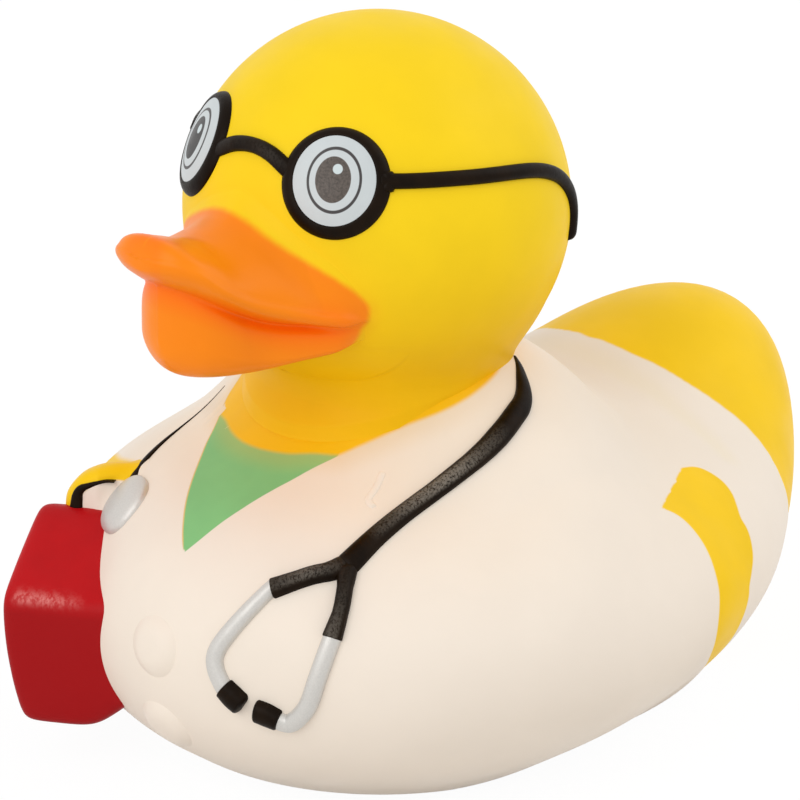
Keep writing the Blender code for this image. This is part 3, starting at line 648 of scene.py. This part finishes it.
def print_finish(name, pupil):
    """The printed eye on a lens: a pale disc, a thin oval ring, a speckled oval pupil and a pale
    dot. Each is where the length of the place, divided by the oval's half axes, is one."""
    paint = Finish(name)

    def oval(centre, half_width, half_height):
        """Distance in millimetres outside an oval, near enough."""
        x = paint.times(paint.less(paint.mark("aside"), centre[0]), 1.0 / half_width)
        y = paint.times(paint.less(paint.mark("upward"), centre[1]), 1.0 / half_height)
        length = paint.sums("SQRT", paint.sums("ADD", paint.times(x, x), paint.times(y, y)))
        return paint.times(paint.less(length, 1.0), 0.5 * (half_width + half_height))

    speckle = paint.noise(3600.0, 2.0, 0.7)
    paint.colour = paint.mottled(LENS_WHITE, 0.02, 300.0)
    ring = paint.sums("ABSOLUTE", oval((0.08, 0.03), 2.88, 3.44))
    paint.coat(paint.fade(ring, 0.20, 0.12), RING_GREY)
    paint.coat(paint.fade(oval((-0.02, 0.06), 1.96, 2.51), 0.04, -0.04),
               paint.blend(paint.fade(speckle, 0.3, 0.7), pupil[0], pupil[1]))
    paint.coat(paint.fade(oval((0.40, 1.22), 0.54, 0.55), 0.04, -0.04), DOT_WHITE)
    paint.set(0.3, paint.dull(300.0, 0.34, 0.44, 0.3))
    paint.bumped((paint.noise(300.0, 2.0), 0.00004), (speckle, 0.000008))
    return paint.material


def body_marks(points):
    """Distances inside each painted field of the body, distance from the valley along the hem,
    and shares that mark the far lapel and the throat. Tail, wing tips and valley are mirrored."""
    angles = bearings_of(points - BODY_CENTRE)
    mirrored = np.stack([np.abs(points[..., 0]), points[..., 1], points[..., 2]], -1)
    mirrored_angles = (np.abs(angles[0]), angles[1])
    near, far = smooth_path(COAT_EDGE_NEAR, 8), smooth_path(COAT_EDGE_FAR, 8)
    ring, far_top = smooth_path(NECK_RING, 6), smooth_path(SHIRT_TOP_FAR, 6)
    side = smooth_path(NECK_SIDE, 6)
    under = (0.0, 3.0)
    shirt = np.vstack([near, ring[::-1][1:] + under, far_top[:-4] + under, far[far[:, 1] < 36.0][:-1]])
    far_side = (side[side[:, 0] > 45.0] * (-1.0, 1.0))[::-1]
    top = [(195.0, 88.0), (-195.0, 88.0)]
    neck = np.vstack([far_side, far[far[:, 1] > 34.9] + (-1.6, 0.8), far_top[::-1], ring, side, top])
    hem = np.vstack([smooth_path(HEM, 6), [(200.0, -32.0), (205.0, 0.0), (205.0, 30.0)]])
    wing = np.vstack([smooth_path(WING_TIP_OUTER, 6), smooth_path(WING_TIP_INNER, 6)])
    hand = np.vstack([smooth_path(HAND_SPRAY, 6), [(-34.0, 4.0), (-40.0, -8.0), (-75.0, -8.0)]])
    opening = np.vstack([far_side, far[:-1], near, side[1:], top])
    valley = smooth_path(HEM_VALLEY, 6)
    valley = np.vstack([valley, valley[::-1]])
    marks = {word: paint_distance(points, angles, outline, on_body)
             for word, outline in (("shirt", shirt), ("neck", neck), ("hand", hand), ("opening", opening))}
    for word, outline in (("tail", hem), ("wing_tip", wing), ("valley", valley)):
        marks[word] = paint_distance(mirrored, mirrored_angles, outline, on_body)
    marks["valley"] = np.abs(marks["valley"])
    bearing, rise = angles
    marks["far_side"] = np.clip((-0.6 - bearing) / 1.5, 0.0, 1.0) * np.clip((46.0 - rise) / 3.0, 0.0, 1.0)
    marks["throat"] = np.clip((78.0 - np.abs(bearing)) / 40.0, 0.0, 1.0)
    return marks


def make_body(material):
    """The body's skin on rings of bearing and rise about its centre, pressed in a little along
    the valley and at the hem, with the drain hole's bore going up from the base."""
    bearing = spread(((-180.0, 0.7), (-75.0, 0.8), (-50.0, 1.5), (60.0, 1.5), (135.0, 1.2), (160.0, 0.9),
                      (180.0, 0.7)), 401)[:-1]
    hole = math.degrees(math.atan2(BODY_CENTRE[2], DRAIN_RADIUS))
    rise = spread(((-hole, 1.5), (-80.0, 0.3), (-40.0, 0.5), (-36.0, 3.0), (-20.0, 3.0), (-17.0, 1.6),
                   (48.0, 1.6), (60.0, 0.6), (89.0, 0.3)), 236)
    turn, lift = np.meshgrid(bearing, rise)
    directions = heading(turn, lift)
    points = BODY_CENTRE + body_reach(directions)[..., None] * directions
    marks = body_marks(points)
    dip = 0.16 * np.exp(-(marks["valley"] / 1.3) ** 2) + 0.10 * np.clip(marks["tail"] / 0.5, -0.5, 0.5)
    points = points - dip[..., None] * directions
    points[..., 2] = np.maximum(points[..., 2], 0.0)
    off = np.hypot(points[..., 0], points[..., 1] - BODY_CENTRE[1]) - DRAIN_RADIUS
    drawn = (DRAIN_SET_BACK - BODY_CENTRE[1]) * np.clip(1.0 - off / 12.0, 0.0, 1.0)
    points[..., 1] += np.where(lift < -30.0, drawn, 0.0)
    bore = [(0.0, DRAIN_SET_BACK, height) + radius * heading(bearing, 0.0)
            for radius, height in ((3.0, 6.0), (3.0, 2.4), (DRAIN_RADIUS, 2.2), (DRAIN_RADIUS, 0.15))]
    marks = {word: np.vstack([np.repeat(values[:1], 4, 0), values]) for word, values in marks.items()}
    return grid_piece("coat_body", np.concatenate([np.array(bore), points]), material, marks)


def bill_half_width(forward, reach):
    """Half width in plan, by distance forward: a wide root that narrows to a round tip."""
    corner = HEAD_RADIUS * math.cos(math.radians(BILL_CORNER))
    tip_centre = reach - BILL_TIP_RADIUS
    shoulder, edge = tip_centre + 0.25 * BILL_TIP_RADIUS, 0.968 * BILL_TIP_RADIUS
    share = np.clip((forward - corner) / (shoulder - corner), 0.0, 1.0)
    ease = share * share * (3.0 - 2.0 * share)
    sides = BILL_HALF_WIDTH + (edge - BILL_HALF_WIDTH) * (ease + BILL_TAPER * (share - ease))
    tip = np.sqrt(np.maximum(BILL_TIP_RADIUS ** 2 - np.maximum(forward - tip_centre, 0.0) ** 2, 0.01))
    return np.where(forward > shoulder, tip, sides)


def height_at(share, knots):
    """A smooth height at a share of the bill's reach, through a few knots."""
    fine = smooth_path(knots, 12)
    return np.interp(share, fine[:, 0], fine[:, 1])


def section_distance(x, z, half_width, top, rim, bottom, peak, foot):
    """Distance outside a bill section that is widest at the rim: the gauge is the length of the
    place over the section's half sizes, to the power of its peak above the rim and its foot
    below, and the distance is that less one, over how fast it grows."""
    above = z > rim
    power = np.where(above, peak, foot)
    height = np.where(above, np.maximum(top - rim, 0.05), np.maximum(rim - bottom, 0.05))
    across, up = np.abs(x) / half_width + 1e-6, np.abs(z - rim) / height + 1e-6
    gauge = (across ** power + up ** power) ** (1.0 / power)
    slopes = across ** (power - 1.0) / half_width, up ** (power - 1.0) / height
    growth = gauge ** (1.0 - power) * np.hypot(*slopes)
    return (gauge - 1.0) / np.maximum(growth, 1e-3)


def upper_distance(points):
    """Distance outside the upper bill."""
    forward, height = -points[..., 1], points[..., 2] - HEAD_CENTRE[2]
    share = np.clip(forward / UPPER_REACH, UPPER_TOP[0][0], 1.0)
    peak = np.interp(share, (0.56, 0.84), (1.35, 2.2))
    width, rim = bill_half_width(forward, UPPER_REACH), height_at(share, UPPER_RIM)
    flat = section_distance(points[..., 0], height, width, height_at(share, UPPER_TOP), rim,
                            height_at(share, UPPER_BOTTOM), peak, 2.2)
    bead = np.hypot(np.abs(points[..., 0]) - width + BEAD_RADIUS * 0.5, height - rim - 0.2) - BEAD_RADIUS
    flat = soft_min(flat, bead, 0.6)
    return np.maximum(flat, forward - UPPER_REACH)


def lower_distance(points):
    """Distance outside the lower bill."""
    forward, height = -points[..., 1], points[..., 2] - HEAD_CENTRE[2]
    share = np.clip(forward / LOWER_REACH, LOWER_BOTTOM[0][0], 1.0)
    bottom = height_at(share, LOWER_BOTTOM)
    mouth = height_at(np.clip(forward / UPPER_REACH, 0.25, 1.0), UPPER_BOTTOM) + MOUTH_OVERLAP
    rim = mouth - LOWER_FULLNESS * (mouth - bottom)
    width = np.maximum(bill_half_width(forward, LOWER_REACH) - LOWER_INSET, 0.1)
    flat = section_distance(points[..., 0], height, width, mouth, rim, bottom, 4.0, 2.0)
    return np.maximum(flat, forward - LOWER_REACH)


def bill_distance(points):
    """Distance outside the bill and the head's ball, run together softly."""
    ball = np.linalg.norm(points - HEAD_CENTRE, axis=-1) - HEAD_RADIUS
    both = soft_min(upper_distance(points), lower_distance(points), 0.7)
    behind = np.maximum(18.5 + points[..., 1], 0.0)
    return soft_min(ball, both + 0.18 * behind ** 2, 2.6)


def head_marks(points):
    """How far inside the orange each point is, and how low on the head."""
    away = points - HEAD_CENTRE
    whole = smooth_path(BILL_PAINT + BILL_PAINT[:1], 6)
    bearing, rise = bearings_of(whole)
    on_ball = HEAD_CENTRE + HEAD_RADIUS * unit(away)
    angles = bearings_of(away)
    orange = paint_distance(on_ball, angles, np.stack([bearing, rise], -1)[:-1], on_head)
    chin = np.clip((-6.0 - angles[1]) / 8.0, 0.0, 1.0) * np.clip((70.0 - np.abs(angles[0])) / 10.0, 0.0, 1.0)
    # How low a point is, for the painted shade on the lower head and neck
    lowness = np.clip((-away[..., 2] + 6.0) / 26.0, 0.0, 1.0)
    return {"orange": orange, "chin": chin, "lowness": lowness}


def make_bill(material):
    """The bill, on rays from a point inside it. Behind the corners, where it lies on the head, it
    is pulled back to a small ball that the head hides."""
    start = HEAD_CENTRE + (0.0, -14.0, -4.6)
    bearing = spread(((-180.0, 0.1), (-124.0, 0.3), (-112.0, 1.0), (112.0, 1.0), (124.0, 0.3), (180.0, 0.1)),
                     361)
    rise = spread(((-88.0, 0.3), (-72.0, 0.8), (-30.0, 1.4), (-16.0, 2.4), (34.0, 2.4), (44.0, 1.2),
                   (76.0, 0.8), (88.0, 0.3)), 270)
    turn, lift = np.meshgrid(bearing[:-1], rise)
    points = cast(bill_distance, start, heading(turn, lift), 40.0)
    behind = np.clip((np.abs(turn) - 112.0) / 6.0, 0.0, 1.0)[..., None]
    points = points + behind * (start + 5.0 * heading(turn, lift) - points)
    ball = np.linalg.norm(points - HEAD_CENTRE, axis=-1) - HEAD_RADIUS
    sunk = 0.06 * np.clip(1.0 - ball / 0.12, 0.0, 1.0)
    sunk = sunk + 0.5 * np.clip((np.abs(turn) - 104.0) / 8.0, 0.0, 1.0)
    points = points - sunk[..., None] * unit(points - HEAD_CENTRE)
    marks = head_marks(points)
    # Share of painted shade in the mouth's crease, where upper and lower bill come close
    gap = np.abs(upper_distance(points) - lower_distance(points))
    outer = np.clip(ball / 2.0, 0.0, 1.0)
    marks["crease"] = outer * np.clip(1.0 - gap / 3.2, 0.0, 1.0) * 0.7
    return grid_piece("bill", points, material, marks)


def make_head(material):
    """Head and neck: round sections, swelled where the neck comes near the body's skin."""
    polar = np.linspace(0.6, 128.0, 150)
    drop = np.concatenate([-HEAD_RADIUS * np.cos(np.radians(polar)),
                           np.linspace(HEAD_RADIUS * 0.6205, NECK_ROOT_DROP, 110)])
    radius, back = neck_section(drop)
    turn = np.linspace(-math.pi, math.pi, 360, endpoint=False)
    level = heading(np.degrees(turn), 0.0)
    middle = np.stack([0.0 * drop, back, HEAD_CENTRE[2] - drop], -1)
    points = middle[:, None] + radius[:, None, None] * level
    front = np.clip((95.0 - np.abs(np.degrees(turn))) / 45.0, 0.0, 1.0)
    swell = fillet(body_distance(points)) * front * np.clip((drop - 12.0) / 4.0, 0.0, 1.0)[:, None]
    points = points + swell[..., None] * level
    marks = head_marks(points)
    marks["crease"] = np.zeros(points.shape[:2])
    return grid_piece("head_and_neck", points, material, marks)


def ball_height(radius):
    """Height of the head's ball along a lens axis, at a distance from that axis."""
    return np.sqrt(HEAD_RADIUS ** 2 - np.asarray(radius) ** 2)


def oval(turn):
    """How far a lens reaches at an angle round it, over its upright radius."""
    return 1.0 / np.hypot(np.cos(turn) / LENS_NARROW, np.sin(turn))


def make_lens(name, axis, face):
    """A printed lens: a low dome over the head's ball, a little lower at its edge."""
    radius = np.linspace(0.02, LENS_RADIUS + 0.25, 40)
    dome = ball_height(radius) + LENS_PROUD - LENS_FALL * (radius / LENS_RADIUS) ** 4
    profile = np.stack([np.append(radius, radius[-1]), np.append(dome, dome[-1] - 1.0)], -1)
    turned(name, profile, HEAD_CENTRE, axis, face, outline=oval)


def make_rim(name, axis, black):
    """A rim that falls from the lens to the head's skin, set a little lower towards its outside."""
    share = np.sin(np.linspace(0.0, math.pi / 2, 25))
    ring = LENS_RADIUS + (RIM_OUTER - LENS_RADIUS) * share
    lift = ball_height(ring) + RIM_PROUD * (1.0 - share ** 2.6) ** 0.6 - 0.12 * (1.0 - share) ** 8
    share = np.concatenate([[0.0], share, [1.0]])
    ring = np.concatenate([[LENS_RADIUS], ring, [RIM_OUTER]])
    lift = np.concatenate([[lift[0] - 1.0], lift, [lift[-1] - 1.0]])
    top = np.cross(axis, unit(np.cross((0.0, 0.0, 1.0), axis)))

    def stretch(turn):
        """Oval at the lens, nearly round at the outside."""
        return 1.0 + (oval(turn) - 1.0) * (1.0 - 0.8 * share)[:, None]

    def lowered(points, axis):
        """Moved down by a share of the way from the lens to the outside."""
        off = np.linalg.norm(np.cross(points - HEAD_CENTRE, axis), axis=-1) - LENS_RADIUS
        return points - RIM_LOWERED * top * np.clip(off / (RIM_OUTER - LENS_RADIUS), 0.0, 1.0)[..., None]

    profile = np.stack([ring, lift], -1)
    rim = turned(name, profile, HEAD_CENTRE, axis, black, 160, stretch, lowered)
    lay_mark(rim, "worn_and_highlight", 0.0)


def make_glasses(black, near_print, far_print):
    """Rims, printed lenses, bridge, hubs and temples, standing on the head."""
    for side, word, face in ((1, "left", near_print), (-1, "right", far_print)):
        axis = heading(side * LENS_BEARING, LENS_RISE)
        make_lens(word + "_lens", axis, face)
        make_rim(word + "_rim", axis, black)
        start = LENS_BEARING + math.degrees((LENS_RADIUS + 0.4) / HEAD_RADIUS)
        path = [(side * b, r) for b, r in ((start, LENS_RISE + 0.4),) + TEMPLE_PATH]
        band(word + "_temple", on_head, path, TEMPLE_WIDTH, TEMPLE_PROUD, "black_paint", black, 200,
             (0.1, 1.0))
        hub = start + 2.6
        path = [(side * hub, LENS_RISE + r) for r in (-2.9, 0.0, 3.2)]
        band(word + "_hub", on_head, path, 1.5, 0.78, "black_paint", black, 40, (0.5, 0.5))
    inner = LENS_BEARING - math.degrees((LENS_RADIUS + 0.35) / HEAD_RADIUS) / math.cos(math.radians(LENS_RISE))
    low, flank = LENS_RISE + 0.2 * (BRIDGE_RISE - LENS_RISE), LENS_RISE + 0.8 * (BRIDGE_RISE - LENS_RISE)
    path = ((-inner, low), (-0.5 * inner, flank), (0.0, BRIDGE_RISE), (0.5 * inner, flank), (inner, low))
    band("bridge", on_head, path, (1.9, 1.8, 1.7, 1.8, 1.9), (0.5, 0.85, 0.85, 0.85, 0.5), "black_paint",
         black, 120, (0.1, 0.1), wear=(0.0, 0.05, 0.05, 0.15, 0.0))


def make_stethoscope(black, silver):
    """The stethoscope laid over the coat: tubes, sprung arms, ear tips and chestpiece."""
    def black_band(name, path, widths, proud, count, *more, **worn_and_highlight):
        """A black strip on the body."""
        band(name, on_body, path, widths, proud, "black_paint", black, count, *more, **worn_and_highlight)

    black_band("near_tube", NEAR_TUBE, (0.3, 1.5, 2.5, 2.6, 2.3, 2.2, 2.3, 2.5, 2.9),
               (0.15, 0.6, 1.0, 1.1, 1.1, 1.1, 1.1, 1.1, 1.2), 260, (0.2, 1.0),
               wear=(0.0, 0.0, 0.0, 0.0, 0.5, 1.0, 1.0, 0.7, 0.0, 0.0))
    black_band("inner_arm", INNER_ARM, (2.7, 2.2, 2.15, 2.4), 1.2, 90, (1.2, 0.35),
               wear=(0.0, 0.3, 0.8, 0.8, 0.3))
    black_band("outer_arm", OUTER_ARM, (2.5, 1.8, 1.8, 2.3), 1.2, 90, (1.2, 0.35), wear=(0.0, 0.1, 0.5, 0.5))
    for name, path, widths in (("inner_chrome", INNER_CHROME, (1.8, 1.9, 2.0, 2.1, 2.2)),
                               ("outer_chrome", OUTER_CHROME, (2.1, 2.1, 2.1, 2.1, 2.2))):
        band(name, on_body, path, widths, 1.05, "silver_paint", silver, 160)
    for name, path, widths in (("inner_tip", INNER_TIP, (2.6, 2.9, 2.8)),
                               ("outer_tip", OUTER_TIP, (2.5, 2.8, 2.7))):
        black_band(name, path, widths, 1.35, 60, (0.3, 0.5))
    black_band("far_tube", FAR_TUBE, (0.16, 0.22, 0.3, 0.5, 0.7, 0.9, 1.1, 1.3),
               (0.10, 0.12, 0.15, 0.2, 0.28, 0.36, 0.45, 0.5), 200)
    point, normal = on_body(*CHESTPIECE)
    share = np.linspace(0.02, 1.0, 40)
    profile = np.stack([CHESTPIECE_RADIUS * share, CHESTPIECE_PROUD * (1.0 - share ** 2.6) ** 0.6], -1)
    profile = np.vstack([profile, [(CHESTPIECE_RADIUS, -1.6)]])
    turned("chestpiece", profile, point, normal, silver, 120,
           outline=lambda turn: (np.abs(np.cos(turn)) ** 2.3 + np.abs(np.sin(turn)) ** 2.3) ** (-1.0 / 2.3))


def make_buttons(material):
    """Two low round buttons under the coat's paint, following its skin."""
    for number, rise in enumerate(BUTTON_RISES, 1):
        point, normal = on_body(0.0, rise)
        share = np.linspace(0.02, 1.12, 44)
        lift = BUTTON_PROUD * np.clip(1.0 - share ** 4, 0.0, 1.0) ** 1.5
        lift = lift - 0.12 * np.clip((share - 0.9) / 0.2, 0.0, 1.0)
        profile = np.stack([BUTTON_RADIUS * share, lift], -1)

        def lay(points, axis, point=point, lift=lift):
            """Each point of the flat profile put as high over the body's skin."""
            flat = points - lift[:, None, None] * axis
            away = unit(flat - BODY_CENTRE)
            skin = BODY_CENTRE + body_reach(away)[..., None] * away
            return skin + lift[:, None, None] * axis

        piece = turned(f"button_{number}", profile, point, normal, material, 120, lay=lay)
        blank_marks(piece)


def lay_mark(piece, word, value):
    """One value laid on every point of a piece."""
    values = np.full(len(piece.data.vertices), value, np.float32)
    piece.data.attributes.new(word, "FLOAT", "POINT").data.foreach_set("value", values)


def blank_marks(piece):
    """Marks that leave a piece in the coat's own cream."""
    for word in ("shirt", "neck", "tail", "wing_tip", "hand", "opening"):
        lay_mark(piece, word, -30.0)
    for word, value in (("far_side", 0.0), ("throat", 0.0), ("valley", 9.0)):
        lay_mark(piece, word, value)


def case_axes():
    """The case's own axes: out of its front, along its width, and up."""
    out = heading(CASE_BEARING, 0.0)
    return np.array([out, (-out[1], out[0], 0.0), (0.0, 0.0, 1.0)])


def case_place(out_of, along_it, up):
    """Points from distances out of the front, along the width and up."""
    return np.stack(np.broadcast_arrays(out_of, along_it, up), -1) @ case_axes()


def case_parts(points):
    """Distances out of the case's front, along its width and up."""
    return np.moveaxis(points @ case_axes().T, -1, 0)


def case_distance(points):
    """Distance outside the case: the soft greatest of its bowed front and near side, its sloped
    roofs, its far side, foot, heel and back."""
    o, a, z = case_parts(points)
    roof, heel = math.cos(math.atan(ROOF_SLOPE)), math.cos(math.atan(HEEL_SLOPE))
    bow = (z - CASE_WAIST) ** 2
    walls = [o - CASE_FRONT + FRONT_BOW * bow, a - CASE_NEAR + NEAR_BOW * bow,
             (z + ROOF_SLOPE * a - CASE_ROOF) * roof,
             (z - ROOF_SLOPE * (a - 2.0 * CASE_MIDDLE[1]) - CASE_ROOF) * roof,
             CASE_FAR - a, CASE_BOTTOM - z, (CASE_BOTTOM + HEEL_SLOPE * (CASE_HEEL - o) - z) * heel,
             CASE_BACK - o]
    greatest = np.maximum.reduce(walls)
    return greatest + CASE_EDGE * np.log(sum(np.exp((w - greatest) / CASE_EDGE) for w in walls)) - 0.05


def make_case(red):
    """The doctor's case, on rays from its middle."""
    bearing = np.linspace(-180.0, 180.0, 340, endpoint=False)
    rise = spread(((-88.0, 0.5), (-50.0, 1.0), (50.0, 1.0), (88.0, 0.5)), 250)
    turn, lift = np.meshgrid(bearing, rise)
    points = cast(case_distance, case_place(*CASE_MIDDLE), heading(turn, lift), 40.0)
    o, a, z = case_parts(points)
    shoulder = np.exp(-((z - CASE_SHOULDER) / 0.55) ** 2) * np.clip(a - 21.0, 0.0, 1.0)
    # The near shoulder's edge, where scuffed paint and a painted highlight are laid
    scuff_and_highlight = shoulder * np.clip(35.8 - o, 0.0, 1.0) * np.clip((o - 27.0) / 4.0, 0.0, 1.0)
    # Share of painted shade below the shoulder
    lower = np.clip((CASE_SHOULDER + 0.3 - z) / 2.0, 0.0, 1.0)
    grid_piece("doctor_case", points, red, {"scuff_and_highlight": scuff_and_highlight, "lower": lower})


def flat_distance(o, z, outline):
    """Distance outside a closed outline of out and up."""
    return np.where(inside_of(o, z, outline), -1.0, 1.0) * nearest_leg(np.stack([o, z], -1), outline)


def hand_distance(points):
    """Distance outside the hand, run softly into the body: its outline carried along the width."""
    o, a, z = case_parts(points)
    near = HAND_ALONG[1] - 0.42 * np.maximum(29.5 - o, 0.0)
    side = flat_distance(o, z, smooth_path(HAND_OUTLINE, 6))
    mitten = soft_max(side, np.maximum(a - near, HAND_ALONG[0] - a), 2.0)
    return soft_min(mitten, body_distance(points), 1.6)


def make_hand(coat):
    """The mitten hand over the case's strap, painted yellow but for the cream under the strap."""
    bearing = np.linspace(-180.0, 180.0, 200, endpoint=False)
    turn, lift = np.meshgrid(bearing, np.linspace(-60.0, 87.0, 130))
    points = cast(hand_distance, case_place(26.5, 8.8, 27.0), heading(turn, lift), 30.0, 16)
    skin = body_distance(points)
    points = points - (0.08 * np.clip(1.0 - skin / 0.15, 0.0, 1.0))[..., None] * unit(points - BODY_CENTRE)
    o, a, z = case_parts(points)
    marks = body_marks(points)
    under = np.array(UNDER_STRAP)
    lower = np.where(inside_of(o, z, under) & (a > 6.0), -4.0, 4.0) * nearest_leg(np.stack([o, z], -1), under)
    off_body = np.minimum(lower, np.maximum(marks["hand"], skin * 2.0))
    marks["hand"] = np.where(skin > 0.3, off_body, marks["hand"])
    grid_piece("hand", points, coat, marks)


def make_strap(black):
    """The case's handle: a flat strip on the hand's near side, narrow where it turns inward."""
    path = even_steps(smooth_path(STRAP), 90)
    width = np.interp(np.linspace(0.0, 1.0, 90), np.linspace(0.0, 1.0, len(STRAP_WIDTHS)), STRAP_WIDTHS)
    ahead = unit(np.gradient(path, axis=0))
    across = np.stack([-ahead[:, 1], ahead[:, 0]], -1)
    angle = np.linspace(0.0, math.pi, 17)
    side = np.concatenate([[-1.0], -np.cos(angle), [1.0]]) * 0.5
    lift = np.concatenate([[-3.5], 0.45 * np.sin(angle) ** 0.8, [-3.5]])
    spots = path[:, None] + side[None, :, None] * width[:, None, None] * across[:, None]
    depth = HAND_ALONG[1] - 0.12 + lift[None] * np.where(lift > 0.0, np.minimum(width, 1.0)[:, None], 1.0)
    points = case_place(spots[..., 0], depth, spots[..., 1])
    grid_piece("case_strap", points, black, {"worn_and_highlight": 0.0 * depth})


def seen_rays(tree):
    """One for rays that show the room: the camera's own, and those sent on by shine or glass."""
    sight = joined(tree, "ShaderNodeLightPath", {})
    seen = sight["Is Camera Ray"]
    for word in ("Is Glossy Ray", "Is Transmission Ray"):
        seen = joined(tree, "ShaderNodeMath", {0: seen, 1: sight[word]}, operation="MAXIMUM")[0]
    return seen


def make_floor():
    """A plain pale floor: it looks white to the camera and in shine, and keeps a soft shadow."""
    material = bpy.data.materials.new("pale_floor")
    material.use_nodes = True
    tree = material.node_tree
    tree.nodes.clear()
    plain = joined(tree, "ShaderNodeBsdfDiffuse", {"Color": FLOOR_COLOUR})
    white = joined(tree, "ShaderNodeEmission", {"Color": WHITE, "Strength": FLOOR_WHITE})
    share = joined(tree, "ShaderNodeMath", {0: seen_rays(tree), 1: FLOOR_SHARE}, operation="MULTIPLY")
    mix = joined(tree, "ShaderNodeMixShader", {0: share[0], 1: plain[0], 2: white[0]})
    joined(tree, "ShaderNodeOutputMaterial", {"Surface": mix[0]})
    mesh = bpy.data.meshes.new("floor")
    size, low = 1.6, -0.00004
    corners = [(-size, -size, low), (size, -size, low), (size, size, low), (-size, size, low)]
    mesh.from_pydata(corners, [], [(0, 1, 2, 3)])
    mesh.materials.append(material)
    floor = stand("floor", mesh)


def make_world():
    """A pale room: white to the camera and in shine, softer as light."""
    world = bpy.data.worlds.new("pale_room")
    bpy.context.scene.world = world
    world.use_nodes = True
    tree = world.node_tree
    levels = {"Value": seen_rays(tree), "To Min": ROOM_LIGHT, "To Max": 1.0}
    strength = joined(tree, "ShaderNodeMapRange", levels)
    ground = tree.nodes["Background"]
    ground.inputs["Color"].default_value = WHITE
    tree.links.new(strength[0], ground.inputs["Strength"])


def aimed(place, away):
    """The matrix of a lamp or camera at a place in metres that looks back against a direction."""
    right = unit(np.cross((0.0, 0.0, 1.0), away))
    turn = np.stack([right, np.cross(away, right), away, place], 1)
    return Matrix(np.vstack([turn, (0.0, 0.0, 0.0, 1.0)]).tolist())


def make_lamp(name, place, size, power):
    """A large soft lamp aimed at the middle of the duck."""
    lamp = bpy.data.lights.new(name, "AREA")
    lamp.shape = "DISK"
    lamp.size, lamp.energy = size, power
    stand(name, lamp).matrix_world = aimed(place, unit(np.array(place) - (0.0, 0.0, 0.04)))


def make_camera():
    """The photograph's camera: upright, looking down at the duck's left front."""
    away = heading(CAMERA_AZIMUTH, CAMERA_ELEVATION)
    lens = bpy.data.cameras.new("camera")
    lens.lens, lens.sensor_width = CAMERA_LENS, 36.0
    camera = stand("camera", lens)
    camera.matrix_world = aimed((CAMERA_TARGET + CAMERA_DISTANCE * away) * MM, away)
    bpy.context.scene.camera = camera


def main():
    """The whole duck in its pale room."""
    bpy.context.scene.view_settings.view_transform = "Standard"
    coat, skin, black, silver = coat_finish(), head_finish(), black_finish(), silver_finish()
    # The near eye's print carries a painted reflection in its lighter pupil
    near_print = print_finish("near_eye_print", NEAR_PUPIL_SHEEN)
    far_print = print_finish("far_eye_print", FAR_PUPIL)
    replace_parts(make_body(coat), "duck")
    make_head(skin)
    make_bill(skin)
    make_glasses(black, near_print, far_print)
    make_stethoscope(black, silver)
    make_buttons(coat)
    make_case(case_finish())
    make_hand(coat)
    make_strap(black)
    notch = band("collar_notch", on_body, LAPEL_NOTCH, 0.8, 0.2, "coat", coat, 60, (0.5, 0.5), 0.4)
    blank_marks(notch)
    make_floor()
    make_world()
    make_lamp("key", *KEY_LAMP)
    make_lamp("fill", *FILL_LAMP)
    make_camera()


main()
